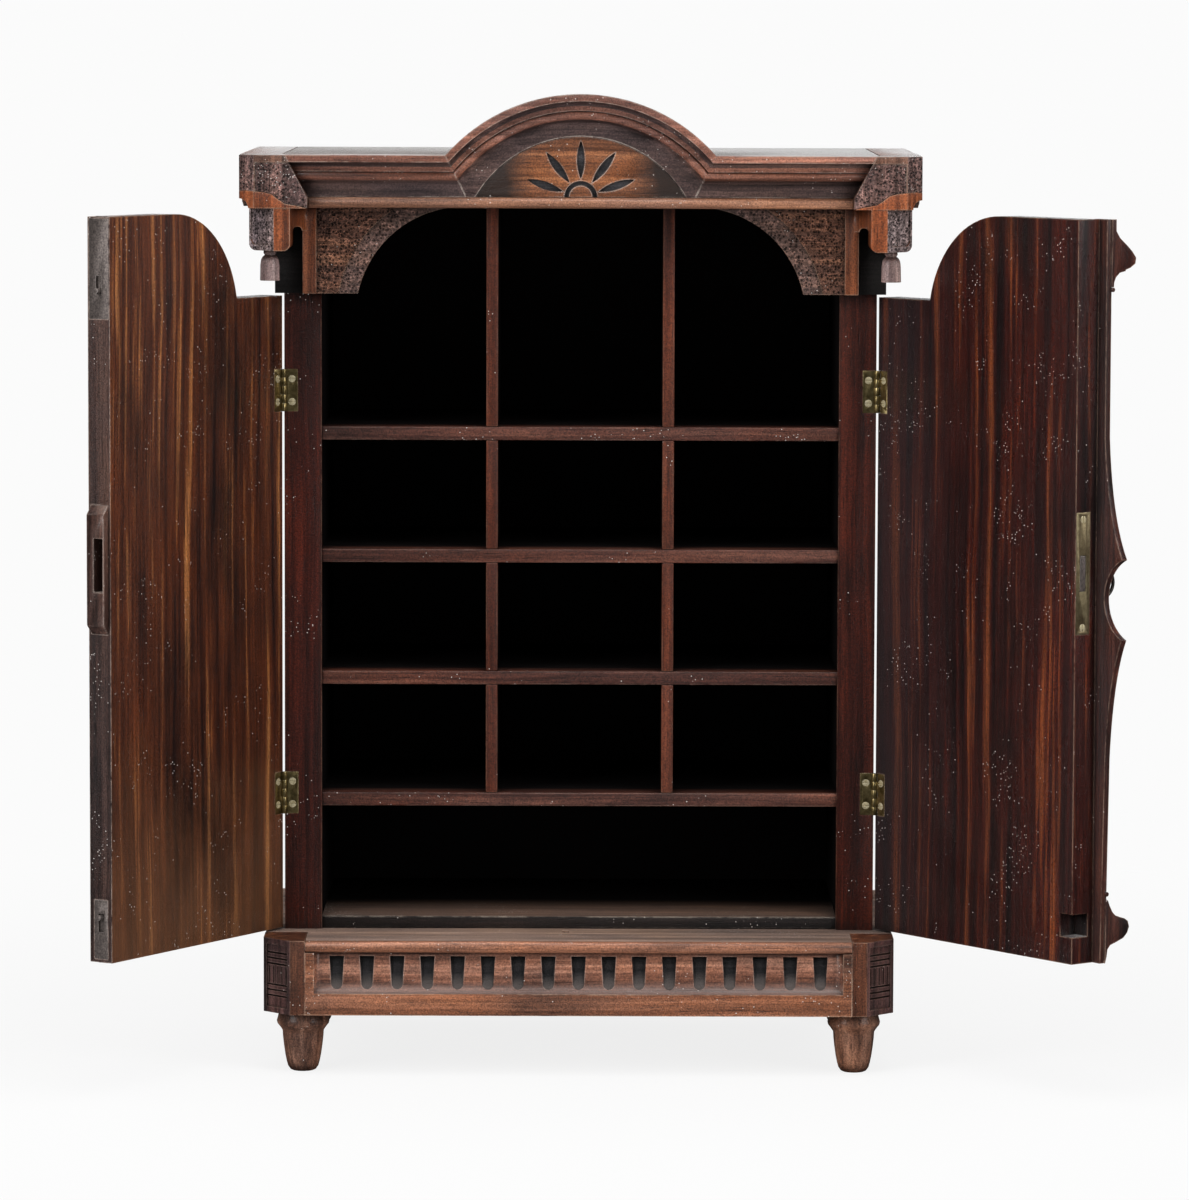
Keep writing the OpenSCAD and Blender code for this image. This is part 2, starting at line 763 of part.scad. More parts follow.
// the smooth band under the scrolled line, with a cove along the side that leads in to the corbel
module corbel_cap() {
    cove = cornice_x - corbel_x;
    difference() {
        corner_arms() polygon(concat(
            [[0, header_z], [corner_len, header_z]],
            [for (p = SCROLL) [p[0], header_z + p[1]]]
        ));
        corner_arms() corner_outline();
        translate([-cornice_x, fy(cornice_f), header_z - over]) rotate([0, 0, -45])
            cant_cutter(cornice_cant, top_z - header_z);
        translate([-cornice_x, front_y, header_z]) rotate([90, 0, 0])
            cylinder(r = cove, h = cornice_f + over);
    }
}

// the hanging block, with its two lower corners rounded
module corbel_body() {
    x0 = -corbel_x;
    low_z = header_z - corbel_h;
    round_r = 4;
    difference() {
        slab(spandrel_low, corbel_f) union() {
            translate([x0, low_z + round_r]) square([corbel_w, corbel_h - round_r]);
            translate([x0 + round_r, low_z]) square([corbel_w - 2 * round_r, corbel_h]);
            for (x = [x0 + round_r, x0 + corbel_w - round_r])
                translate([x, low_z + round_r]) circle(r = round_r);
        }
        translate([x0, fy(corbel_f), low_z - over]) rotate([0, 0, -45])
            cant_cutter(corbel_cant, corbel_h + over);
    }
}

// the bridge over the slot sweeps back from the corbel's front to the plain strip
module corbel_bridge(z0, z1) {
    x1 = -slot_x;
    reach = slot_w + strip_w * 0.4;
    back = corbel_f - spandrel_t - 4;
    translate([0, front_y, z0]) linear_extrude(z1 - z0) polygon(concat(
        [[x1 - 1, -spandrel_low], [x1 - 1, -corbel_f]],
        [for (a = [0:15:90]) [x1 + reach * (1 - cos(a)), -corbel_f + back * sin(a)]],
        [[x1 + reach, -spandrel_low]]
    ));
}

// a hanging block with a sunk panel in its cant, joined over the slot to a plain strip
module corbel() {
    x0 = -corbel_x;
    x1 = -slot_x;
    low_z = header_z - corbel_h;
    slot_r = slot_w * 0.46;
    arch_top = header_z - slot_drop - slot_r;
    panel_w = corbel_cant * sqrt(2) - 3;
    panel_r = 3.6;
    color(AMBER_WALNUT) difference() {
        union() {
            corbel_cap();
            corbel_body();
            corbel_bridge(arch_top, header_z);
            block(-strip_edge, -strip_in, spandrel_low, spandrel_t + 4, spandrel_z, header_z);
        }
        translate([(x1 - strip_edge) / 2, fy(spandrel_low - over), arch_top])
            rotate([90, 0, 0]) cylinder(r = slot_r, h = corbel_f);
        translate([x0 + corbel_cant / 2, fy(corbel_f - corbel_cant / 2), 0]) rotate([0, 0, -45])
            translate([0, panel_sink, 0]) rotate([90, 0, 0]) linear_extrude(4) {
                translate([-panel_w / 2, low_z + 3.4 + panel_r]) square([panel_w, corbel_h - 3.8 - panel_r]);
                translate([-panel_w / 2 + panel_r, low_z + 3.4]) square([panel_w - 2 * panel_r, panel_r + 1]);
                for (side = [-1, 1])
                    translate([side * (panel_w / 2 - panel_r), low_z + 3.4 + panel_r]) circle(r = panel_r);
            }
    }
}

// a turned drop: neck ring, then a bell like a tassel's skirt
module tassel(side) {
    top = header_z - corbel_h;
    foot_z = top - tassel_h;
    x = side * (corbel_x - corbel_w / 2 + 0.5);
    color(AMBER_WALNUT) translate([x, fy(tassel_f), 0]) rotate_extrude($fn = 48) polygon([
        [0, top], [3.2, top], [3.7, top - 0.9], [3.7, top - 2], [3, top - 3], [4.3, top - 4.1],
        [tassel_r * 0.9, top - 5.8], [tassel_r * 0.97, top - 9], [tassel_r, foot_z],
        [0, foot_z]
    ]);
}

module tassels() {
    for (side = [-1, 1]) tassel(side);
}

/* ---- hinges ---- */

// the hinge axis lies in the gap, just outside the case's corner
axis_f = door_gap / 2;
axis_x = case_x + axis_f;
axis_y = fy(axis_f);
seg_h = hinge_h / 5;
knuckle_air = 0.4;
HINGE_Z = [plinth_z + lower_rise, plinth_z + upper_rise];
leaf_screw_x = axis_x - leaf_w * 0.6;

// the left door's pieces are drawn closed, then turned out on the hinge axis
module swing_left() {
    translate([-axis_x, axis_y, 0]) rotate([0, 0, -left_open]) translate([axis_x, -axis_y, 0]) children();
}

// and the right door's
module swing_right() {
    translate([axis_x, axis_y, 0]) rotate([0, 0, right_open]) translate([-axis_x, -axis_y, 0]) children();
}

// one leaf about the left axis: knuckles at the given segments, a plate from f0 to f0 + leaf_t
module leaf(mid_z, segments, gaps, f0) {
    difference() {
        union() {
            block(-axis_x, -axis_x + leaf_w, f0, f0 + leaf_t, mid_z - hinge_h / 2, mid_z + hinge_h / 2);
            for (k = segments) translate([-axis_x, axis_y, mid_z - hinge_h / 2 + k * seg_h + pin_clear])
                cylinder(r = knuckle_r, h = seg_h - 2 * pin_clear);
        }
        for (k = gaps) translate([-axis_x, axis_y, mid_z - hinge_h / 2 + k * seg_h - pin_clear])
            cylinder(r = knuckle_r + knuckle_air, h = seg_h + 2 * pin_clear);
        translate([-axis_x, axis_y, mid_z - hinge_h]) cylinder(r = pin_r + pin_clear, h = 2 * hinge_h);
        for (k = [-1, 1]) translate([-leaf_screw_x, fy(f0 + leaf_t / 2), mid_z + k * screw_half])
            rotate([90, 0, 0]) cylinder(r = head_r, h = leaf_t + over, center = true, $fn = 32);
    }
}

module case_leaf(mid_z) {
    leaf(mid_z, [0, 2, 4], [1, 3], -leaf_t);
}

module door_leaf(mid_z) {
    leaf(mid_z, [1, 3], [0, 2, 4], door_gap);
}

// the sinkings for leaves and knuckles, cut into the side board and into the door
module hinge_seat(mid_z, f0) {
    block(-case_x - over, -axis_x + leaf_w, f0, f0 + leaf_t, mid_z - hinge_h / 2, mid_z + hinge_h / 2);
    translate([-axis_x, axis_y, mid_z - hinge_h / 2 - over])
        cylinder(r = knuckle_r + knuckle_air, h = hinge_h + 2 * over);
}

module left_hinge_seats() {
    for (z = HINGE_Z) hinge_seat(z, -leaf_t);
}

// a wood screw along Y: slotted head flush with f, shank away from it on the given side
module wood_screw(x, z, f, inward) {
    translate([x, fy(f), z]) rotate([inward > 0 ? -90 : 90, 0, 0]) difference() {
        union() {
            cylinder(r = head_r, h = leaf_t, $fn = 32);
            cylinder(r = shank_r, h = screw_len, $fn = 32);
        }
        translate([-head_r, -0.3, -over]) cube([2 * head_r, 0.6, 0.6]);
    }
}

module left_case_screw_holes() {
    for (z = HINGE_Z, k = [-1, 1])
        translate([-leaf_screw_x, front_y, z + k * screw_half]) rotate([-90, 0, 0])
            cylinder(r = shank_r, h = screw_len, $fn = 32);
}

module left_door_screw_holes() {
    for (z = HINGE_Z, k = [-1, 1])
        translate([-leaf_screw_x, fy(door_gap), z + k * screw_half]) rotate([90, 0, 0])
            cylinder(r = shank_r, h = screw_len, $fn = 32);
}

module case_hinge_leaves() {
    color(BRASS) for (z = HINGE_Z) {
        case_leaf(z);
        on_right() case_leaf(z);
    }
}

module hinge_pins() {
    color(BRASS) for (z = HINGE_Z, side = [-1, 1])
        translate([side * axis_x, axis_y, z - hinge_h / 2]) cylinder(r = pin_r, h = hinge_h, $fn = 32);
}

module case_screws() {
    color(BRASS) for (z = HINGE_Z, k = [-1, 1], side = [-1, 1])
        wood_screw(side * leaf_screw_x, z + k * screw_half, 0, 1);
}

/* ---- doors ---- */

door_f0 = door_gap;
door_f1 = door_gap + door_t;
door_z = plinth_z + sill_gap;
door_top = header_z - arch_gap;
shoulder_z = spandrel_z - arch_gap * 0.8;
door_arc_r = spandrel_r - arch_gap;
shoulder_x = arch_x + sqrt(pow(door_arc_r, 2) - pow(shoulder_z - arch_c_z, 2));

// a door's outline on the left, from its hinge side to its meeting edge at -gap
module door_outline(gap) {
    translate([-case_x, door_z]) square([case_x - gap, shoulder_z - door_z]);
    intersection() {
        translate([-arch_x, arch_c_z]) circle(r = door_arc_r, $fn = 120);
        translate([-shoulder_x, shoulder_z]) square([shoulder_x - arch_x, door_top - shoulder_z]);
    }
    translate([-arch_x, shoulder_z]) square([arch_x - gap, door_top - shoulder_z]);
}

strike_z = plinth_z + strike_rise;

module left_door() {
    color(WALNUT) swing_left() difference() {
        slab(door_f0, door_f1) door_outline(left_gap);
        for (z = HINGE_Z) hinge_seat(z, door_gap);
        left_door_screw_holes();
        strike_blank(over);
        edge_plate_blank(bottom_plate_z, edge_plate_w, edge_plate_h, over);
        edge_plate_blank(top_plate_z, top_plate_w, top_plate_h, over);
        bolt_channel(door_z - over, bottom_plate_z + edge_plate_h - 1);
        bolt_channel(top_plate_z + 1, door_top + over);
    }
}

module right_door() {
    color(WALNUT) swing_right() difference() {
        slab(door_f0, door_f1) mirror([1, 0]) door_outline(right_gap);
        on_right() {
            for (z = HINGE_Z) hinge_seat(z, door_gap);
            left_door_screw_holes();
        }
        lock_seat();
        key_way(key_r + slide_clear, bit_t / 2 + slide_clear, door_f1 + over);
        plate_screw_holes();
        lug_pocket();
    }
}

// the rough pocket in the right door's edge, across from the lower thumb lug
module lug_pocket() {
    block(right_gap - over, right_gap + pocket_w, door_f0 - over, door_f0 + pocket_d,
        bottom_lug_z - edge_throw - 4, bottom_lug_z + 2.8);
}

/* ---- strike block on the left door ---- */

edge_mid_f = (door_f0 + door_f1) / 2;

module strike_blank(extra) {
    f0 = edge_mid_f - strike_t / 2;
    block(-left_gap - strike_in, -left_gap + extra, f0, f0 + strike_t, strike_z - strike_h / 2,
        strike_z + strike_h / 2);
}

module strike_block() {
    f0 = edge_mid_f - strike_t / 2;
    mouth_w = bolt_t + 2;
    mouth_f = lock_f;
    color(DARK_WALNUT) swing_left() difference() {
        union() {
            strike_blank(0);
            slab(f0, f0 + strike_t) polygon([
                [-left_gap, strike_z - strike_h / 2], [-left_gap + strike_out, strike_z - strike_h / 2 + 5],
                [-left_gap + strike_out, strike_z + strike_h / 2 - 5], [-left_gap, strike_z + strike_h / 2]
            ]);
        }
        block(-left_gap - strike_in + 0.6, -left_gap + strike_out + over, mouth_f - mouth_w / 2,
            mouth_f + mouth_w / 2, bolt_z - bolt_h / 2 - 1.5, bolt_z + bolt_h / 2 + 9);
    }
}

/* ---- edge bolts on the left door ---- */

edge_bolt_f = edge_mid_f;
bottom_plate_z = door_z + 2;
top_plate_z = door_top - 1 - top_plate_h;
bottom_lug_z = bottom_plate_z + lug_rise;
top_lug_z = top_plate_z + top_plate_h - lug_drop;
bolt_tip_gap = 0.4;

module edge_plate_blank(z, width, height, extra) {
    block(-left_gap - edge_plate_t, -left_gap + extra, edge_bolt_f - width / 2, edge_bolt_f + width / 2,
        z, z + height);
}

// the channel behind the plate in which a bolt slides
module bolt_channel(z0, z1) {
    block(-left_gap - edge_plate_t - edge_bolt_t - 2 * slide_clear, -left_gap - edge_plate_t,
        edge_bolt_f - edge_bolt_w / 2 - slide_clear, edge_bolt_f + edge_bolt_w / 2 + slide_clear, z0, z1);
}

// the slot that a thumb lug slides in, cut through the child
module lug_slot(lug_from, lug_to) {
    slot_half = lug_r + slide_clear;
    difference() {
        children();
        block(-left_gap - edge_plate_t - over, -left_gap + over, edge_bolt_f - slot_half,
            edge_bolt_f + slot_half, lug_from - slot_half, lug_to + slot_half);
    }
}

module edge_bolt_plates() {
    color(STEEL) swing_left() {
        lug_slot(bottom_lug_z - edge_throw, bottom_lug_z)
            edge_plate_blank(bottom_plate_z, edge_plate_w, edge_plate_h, 0);
        lug_slot(top_lug_z, top_lug_z + edge_throw)
            edge_plate_blank(top_plate_z, top_plate_w, top_plate_h, 0);
    }
}

// the flat bar and its round thumb lug
module edge_bolt(z0, z1, lug_z) {
    x1 = -left_gap - edge_plate_t - slide_clear;
    block(x1 - edge_bolt_t, x1, edge_bolt_f - edge_bolt_w / 2, edge_bolt_f + edge_bolt_w / 2, z0, z1);
    translate([x1 - edge_bolt_t / 2, fy(edge_bolt_f), lug_z]) rotate([0, 90, 0])
        cylinder(r = lug_r, h = edge_bolt_t / 2 + slide_clear + edge_plate_t + lug_out, $fn = 32);
}

module bottom_bolt() {
    z0 = door_z - bolt_tip_gap;
    color(STEEL) swing_left() edge_bolt(z0, z0 + edge_bolt_len - edge_throw, bottom_lug_z);
}

module top_bolt() {
    z1 = door_top + bolt_tip_gap;
    color(STEEL) swing_left() edge_bolt(z1 - top_bolt_len + edge_throw, z1, top_lug_z);
}

// the holes that the bolts enter when the left door is closed
module bolt_hole(z0, z1) {
    x1 = -left_gap - edge_plate_t - slide_clear;
    block(x1 - edge_bolt_t - 0.6, x1 + 0.6, edge_bolt_f - edge_bolt_w / 2 - 0.6,
        edge_bolt_f + edge_bolt_w / 2 + 0.6, z0, z1);
}

module bottom_bolt_hole() {
    bolt_hole(ledge_z - over, plinth_z + over);
}

module top_bolt_hole() {
    bolt_hole(header_z - over, door_top + edge_throw + 1.2);
}

/* ---- lock and key in the right door ---- */

plate_z = plinth_z + plate_rise;
bolt_z = plate_z;
key_z = plate_z - key_drop;
lock_f = door_f0 + 0.5 + plate_w / 2;
lock_x0 = right_gap + plate_t;
lock_x1 = right_gap + backset + 15;
lock_z0 = key_z - bit_r - 0.8 - lock_wall;
lock_z1 = bolt_z + bolt_h / 2 + slide_clear + lock_wall;
tail_low = key_z + key_r + 1.7;

module lock_plate() {
    color(BRASS) swing_right() difference() {
        block(right_gap, lock_x0, lock_f - plate_w / 2, lock_f + plate_w / 2, plate_z - plate_h / 2,
            plate_z + plate_h / 2);
        block(right_gap - over, lock_x0 + over, lock_f - bolt_t / 2 - slide_clear,
            lock_f + bolt_t / 2 + slide_clear, bolt_z - bolt_h / 2 - slide_clear,
            bolt_z + bolt_h / 2 + slide_clear);
        for (k = [-1, 1]) translate([right_gap - over, fy(lock_f), plate_z + k * (plate_h / 2 - 4)])
            rotate([0, 90, 0]) cylinder(r = head_r, h = plate_t + 2 * over, $fn = 32);
    }
}

// a folded box, open towards the plate, with a keyhole in its front wall
module lock_case() {
    color(STEEL) swing_right() difference() {
        block(lock_x0, lock_x1, lock_f - lock_t / 2, lock_f + lock_t / 2, lock_z0, lock_z1);
        block(lock_x0 - over, lock_x1 - lock_wall, lock_f - lock_t / 2 + lock_wall,
            lock_f + lock_t / 2 - lock_wall, lock_z0 + lock_wall, lock_z1 - lock_wall);
        key_way(key_r + key_fit, bit_t / 2 + slide_clear, lock_f + lock_t / 2 + over);
    }
}

// the wood that is cut away for plate and case
module lock_seat() {
    block(right_gap - over, lock_x0, lock_f - plate_w / 2, lock_f + plate_w / 2,
        plate_z - plate_h / 2, plate_z + plate_h / 2);
    block(lock_x0 - over, lock_x1, lock_f - lock_t / 2, lock_f + lock_t / 2, lock_z0, lock_z1);
}

// a keyhole: a round hole with a slot below it, from the lock's middle out to f1
module key_way(r, half_slot, f1) {
    x = right_gap + backset;
    translate([x, fy(lock_f), key_z]) rotate([90, 0, 0]) cylinder(r = r, h = f1 - lock_f);
    block(x - half_slot, x + half_slot, lock_f, f1, key_z - bit_r - slide_clear, key_z);
}

// head and tail, with the notch that the key's bit turns through
module lock_bolt() {
    x0 = right_gap + 0.1;
    head = backset - bit_r - 2.4;
    tail_end = lock_x1 - lock_wall - 0.5;
    notch_mid = right_gap + backset + bolt_throw / 2;
    notch_half = 6.2;
    color(STEEL) swing_right() difference() {
        union() {
            block(x0, x0 + head, lock_f - bolt_t / 2, lock_f + bolt_t / 2, bolt_z - bolt_h / 2,
                bolt_z + bolt_h / 2);
            block(x0 + head, tail_end, lock_f - bolt_t / 2, lock_f + bolt_t / 2, tail_low,
                bolt_z + bolt_h / 2);
        }
        block(notch_mid - notch_half, notch_mid + notch_half, lock_f - bolt_t, lock_f + bolt_t,
            tail_low - over, key_z + bit_r + 0.8);
    }
}

module key() {
    x = right_gap + backset;
    shank_f0 = lock_f - lock_t / 2 + lock_wall + 0.4;
    bow_mid = door_f1 + bow_f;
    bit_f0 = lock_f - bolt_t / 2 + 0.2;
    color(STEEL) swing_right() {
        translate([x, fy(shank_f0), key_z]) rotate([90, 0, 0])
            cylinder(r = key_r, h = bow_mid - bow_r + bow_wire * 0.8 - shank_f0);
        translate([x, fy(door_f1 + 1.5), key_z]) rotate([90, 0, 0]) cylinder(r = key_r + 0.9, h = 1.6);
        block(x - bit_t / 2, x + bit_t / 2, bit_f0, bit_f0 + bolt_t - 0.4, key_z - bit_r, key_z);
        translate([x, fy(bow_mid), key_z]) rotate([0, 90, 0])
            rotate_extrude($fn = 72) translate([bow_r - bow_wire / 2, 0]) circle(r = bow_wire / 2, $fn = 24);
    }
}

/* ---- screws in the doors ---- */

module left_door_screws() {
    color(BRASS) swing_left() for (z = HINGE_Z, k = [-1, 1])
        wood_screw(-leaf_screw_x, z + k * screw_half, door_gap, -1);
}

// the plate's screws lie along X, in the door's edge
module plate_screw(z) {
    translate([right_gap, fy(lock_f), z]) rotate([0, 90, 0]) difference() {
        union() {
            cylinder(r = head_r, h = plate_t, $fn = 32);
            cylinder(r = shank_r, h = screw_len, $fn = 32);
        }
        translate([-head_r, -0.3, -over]) cube([2 * head_r, 0.6, 0.6]);
    }
}

module plate_screw_holes() {
    for (k = [-1, 1]) translate([right_gap, fy(lock_f), plate_z + k * (plate_h / 2 - 4)])
        rotate([0, 90, 0]) cylinder(r = shank_r, h = screw_len, $fn = 32);
}

module right_door_screws() {
    color(BRASS) swing_right() {
        for (z = HINGE_Z, k = [-1, 1])
            on_right() wood_screw(-leaf_screw_x, z + k * screw_half, door_gap, -1);
        for (k = [-1, 1]) plate_screw(plate_z + k * (plate_h / 2 - 4));
    }
}

module left_door_leaves() {
    color(BRASS) swing_left() for (z = HINGE_Z) door_leaf(z);
}

module right_door_leaves() {
    color(BRASS) swing_right() on_right() for (z = HINGE_Z) door_leaf(z);
}

/* ---- cover strip on the right door ---- */

notch_z = plinth_z + notch_rise;
tip_half = sqrt(pow(notch_r, 2) - pow(waist_x + notch_r - tip_x, 2));

// a curve from p to q, drawn towards c
function curve(p, c, q) = [for (t = [0:0.1:1]) pow(1 - t, 2) * p + 2 * t * (1 - t) * c + pow(t, 2) * q];

// half the strip's outline, from its foot up
module half_strip() {
    difference() {
        polygon(concat(
            [[0, door_z], [strip_x, door_z], [strip_x + 1, door_z + 41.6]],
            curve([strip_x + 2.5, notch_z - flare_h], [strip_x + 5, notch_z - flare_h / 2],
                [tip_x, notch_z - tip_half]),
            curve([tip_x, notch_z + tip_half], [strip_x + 2.5, notch_z + flare_h / 2],
                [strip_x, notch_z + flare_h]),
            [[strip_x, door_top], [0, door_top]]
        ));
        translate([waist_x + notch_r, notch_z]) circle(r = notch_r, $fn = 96);
    }
}

// side outlines of the two nose brackets: [projection from the strip's face, distance from the door's end]
TOP_NOSE = [
    [-1, 0], [2.1, 0], [2.1, 6.7], [5, 10.7], [10.5, 15], [14.5, 18.5], [nose_f, 22.1],
    [nose_f - 0.6, 25.5], [13, 27.8], [9.4, 28.9], [9.4, 29.6], [5, 30.4], [2, 33], [0.7, 35.7],
    [0.5, nose_h - 1.5], [-1, nose_h - 1.5]
];
FOOT_NOSE = [
    [-1, 0], [0.2, 4], [0.8, 8], [2.8, 10.3], [8.3, 12], [13, 13.7], [nose_f - 1.4, 16.5],
    [nose_f, 19.9], [nose_f - 1, 23.3], [nose_f - 3.6, 25], [9.8, 26.2], [6.7, 27.3], [4.4, 29.4],
    [2, 33.6], [0.8, 36.4], [-1, 37.5]
];

module nose(points, end_z, way) {
    face_f = door_f1 + strip_t;
    along_x(-nose_w / 2, nose_w / 2) polygon([for (p = points) [fy(face_f + p[0]), end_z + way * p[1]]]);
    translate([-nose_w / 2, fy(face_f + 0.1), end_z + way * nose_h])
        rotate([0, 90, 0]) cylinder(r = 1.3, h = nose_w, $fn = 32);
}

module cover_strip() {
    color(WALNUT) swing_right() {
        difference() {
            slab(door_f1, door_f1 + strip_t) {
                half_strip();
                mirror([1, 0]) half_strip();
            }
            block(-2 * tip_x, right_gap, door_f1 - over, door_f1 + strip_air, door_z - over, door_top + over);
        }
        nose(TOP_NOSE, door_top, -1);
        nose(FOOT_NOSE, door_z, 1);
    }
}

left_side();
right_side();
top_board();
floor_board();
back_panel();
shelf(1);  // shelf_1
shelf(2);  // shelf_2
shelf(3);  // shelf_3
shelf(4);  // shelf_4
divider(1, -1);  // divider_1_left
divider(1, 1);  // divider_1_right
divider(2, -1);  // divider_2_left
divider(2, 1);  // divider_2_right
divider(3, -1);  // divider_3_left
divider(3, 1);  // divider_3_right
divider(4, -1);  // divider_4_left
divider(4, 1);  // divider_4_right
plinth_front();
plinth_ledge();
plinth_side();  // plinth_left
on_right() plinth_side();  // plinth_right
plinth_back();
plinth_corner();  // plinth_corner_left
on_right() plinth_corner();  // plinth_corner_right
front_foot(-1);  // foot_front_left
front_foot(1);  // foot_front_right
rear_foot(-1);  // foot_rear_left
rear_foot(1);  // foot_rear_right
cornice_front();  // cornice_front_left
on_right() cornice_front();  // cornice_front_right
cornice_side();  // cornice_side_left
on_right() cornice_side();  // cornice_side_right
cornice_corner();  // cornice_corner_left
on_right() cornice_corner();  // cornice_corner_right
bead_bar();
pediment_arch();
tympanum();
spandrel();  // spandrel_left
on_right() spandrel();  // spandrel_right
corbel();  // corbel_left
on_right() corbel();  // corbel_right
tassels();
case_hinge_leaves();
hinge_pins();
case_screws();
left_door();
strike_block();
left_door_leaves();
left_door_screws();
edge_bolt_plates();
top_bolt();
bottom_bolt();
right_door();
cover_strip();
right_door_leaves();
right_door_screws();
lock_plate();
lock_case();
lock_bolt();
key();
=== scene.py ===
import math

import bmesh
import bpy
import numpy as np
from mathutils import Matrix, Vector


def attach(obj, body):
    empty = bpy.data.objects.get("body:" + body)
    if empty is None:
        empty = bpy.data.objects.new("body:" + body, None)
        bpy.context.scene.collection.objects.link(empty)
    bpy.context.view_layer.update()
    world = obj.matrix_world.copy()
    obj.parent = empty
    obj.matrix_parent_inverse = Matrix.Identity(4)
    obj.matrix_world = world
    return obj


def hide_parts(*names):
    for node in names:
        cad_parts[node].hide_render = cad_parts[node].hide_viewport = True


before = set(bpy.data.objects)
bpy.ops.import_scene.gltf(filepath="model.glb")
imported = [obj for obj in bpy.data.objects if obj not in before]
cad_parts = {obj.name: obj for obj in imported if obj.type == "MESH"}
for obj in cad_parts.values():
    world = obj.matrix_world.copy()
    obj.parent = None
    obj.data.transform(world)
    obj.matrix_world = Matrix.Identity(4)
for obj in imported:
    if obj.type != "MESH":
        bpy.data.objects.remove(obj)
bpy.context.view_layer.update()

# ---------------------------------------------------------------- the studio
# A long lens stands about three and three quarter metres off and looks a little down
# on the case, in front of a white sweep that fills the frame.

view_scene = bpy.context.scene
view_scene.view_settings.view_transform = "Standard"

lens_data = bpy.data.cameras.new("studio_lens")
lens_data.sensor_fit = "VERTICAL"
lens_data.sensor_height = 36.0
lens_data.lens = 185.28
lens_data.clip_end = 30.0
lens = bpy.data.objects.new("studio_lens", lens_data)
lens.location = (0.0077, -3.7312, 0.6251)
lens.rotation_euler = (math.radians(90.0 - 5.0785), math.radians(-0.1736), 0.0)
lens_data.shift_y = -0.0333
view_scene.collection.objects.link(lens)
view_scene.camera = lens


def soft_lamp(name, place, aim, width, height, power):
    """A soft box of the given width and height that faces its aim point."""
    data = bpy.data.lights.new(name, "AREA")
    data.shape = "RECTANGLE"
    data.size = width
    data.size_y = height
    data.energy = power
    lamp = bpy.data.objects.new(name, data)
    lamp.location = place
    lamp.rotation_euler = (Vector(aim) - Vector(place)).to_track_quat("-Z", "Y").to_euler()
    view_scene.collection.objects.link(lamp)


soft_lamp("left_box", (-1.9, -1.9, 1.35), (0.0, 0.0, 0.3), 1.2, 1.6, 34.0)
soft_lamp("right_box", (2.0, -1.7, 1.25), (0.0, 0.0, 0.3), 1.2, 1.6, 26.0)
soft_lamp("top_box", (0.0, -0.7, 2.2), (0.0, -0.05, 0.3), 1.8, 1.4, 26.0)

room = bpy.data.worlds.new("white_room")
room.use_nodes = True
view_scene.world = room
room_nodes = room.node_tree.nodes
room_links = room.node_tree.links
room_nodes.clear()
room_out = room_nodes.new("ShaderNodeOutputWorld")
room_mix = room_nodes.new("ShaderNodeMixShader")
room_light = room_nodes.new("ShaderNodeBackground")
room_light.inputs["Color"].default_value = (1.0, 1.0, 1.0, 1.0)
room_light.inputs["Strength"].default_value = 0.42
room_dark = room_nodes.new("ShaderNodeBackground")
room_dark.inputs["Color"].default_value = (0.92, 0.95, 1.0, 1.0)
room_dark.inputs["Strength"].default_value = 0.05
room_still = room_nodes.new("ShaderNodeMixShader")
room_seen = room_nodes.new("ShaderNodeBackground")
room_seen.inputs["Color"].default_value = (0.965, 0.965, 0.965, 1.0)
room_seen.inputs["Strength"].default_value = 1.0
room_path = room_nodes.new("ShaderNodeLightPath")
room_links.new(room_path.outputs["Is Camera Ray"], room_mix.inputs["Fac"])
room_links.new(room_path.outputs["Is Glossy Ray"], room_still.inputs["Fac"])
room_links.new(room_light.outputs[0], room_still.inputs[1])
room_links.new(room_dark.outputs[0], room_still.inputs[2])
room_links.new(room_still.outputs[0], room_mix.inputs[1])
room_links.new(room_seen.outputs[0], room_mix.inputs[2])
room_links.new(room_mix.outputs[0], room_out.inputs["Surface"])

floor_half = 6.0
floor_mesh = bpy.data.meshes.new("sweep")
floor_mesh.from_pydata([(-floor_half, -floor_half, 0), (floor_half, -floor_half, 0),
                        (floor_half, floor_half, 0), (-floor_half, floor_half, 0)], [], [(0, 1, 2, 3)])
floor = bpy.data.objects.new("sweep", floor_mesh)
view_scene.collection.objects.link(floor)
paper = bpy.data.materials.new("white_paper")
paper.use_nodes = True
paper_nodes = paper.node_tree.nodes
paper_links = paper.node_tree.links
paper_nodes.clear()
paper_out = paper_nodes.new("ShaderNodeOutputMaterial")
paper_matt = paper_nodes.new("ShaderNodeBsdfDiffuse")
paper_matt.inputs["Color"].default_value = (0.80, 0.80, 0.80, 1.0)
paper_shade = paper_nodes.new("ShaderNodeBsdfDiffuse")
paper_shade.inputs["Color"].default_value = (0.13, 0.13, 0.13, 1.0)
paper_near = paper_nodes.new("ShaderNodeEmission")
paper_near.inputs["Strength"].default_value = 0.835
paper_far = paper_nodes.new("ShaderNodeEmission")
paper_far.inputs["Strength"].default_value = 0.965
paper_place = paper_nodes.new("ShaderNodeTexCoord")
paper_reach = paper_nodes.new("ShaderNodeVectorMath")
paper_reach.operation = "LENGTH"
paper_fade = paper_nodes.new("ShaderNodeMapRange")
paper_fade.interpolation_type = "SMOOTHSTEP"
paper_fade.inputs["From Min"].default_value = 0.30
paper_fade.inputs["From Max"].default_value = 0.85
paper_path = paper_nodes.new("ShaderNodeLightPath")
paper_dim = paper_nodes.new("ShaderNodeBsdfDiffuse")
paper_dim.inputs["Color"].default_value = (0.06, 0.06, 0.06, 1.0)
paper_still = paper_nodes.new("ShaderNodeMixShader")
paper_add = paper_nodes.new("ShaderNodeAddShader")
paper_seen = paper_nodes.new("ShaderNodeMixShader")
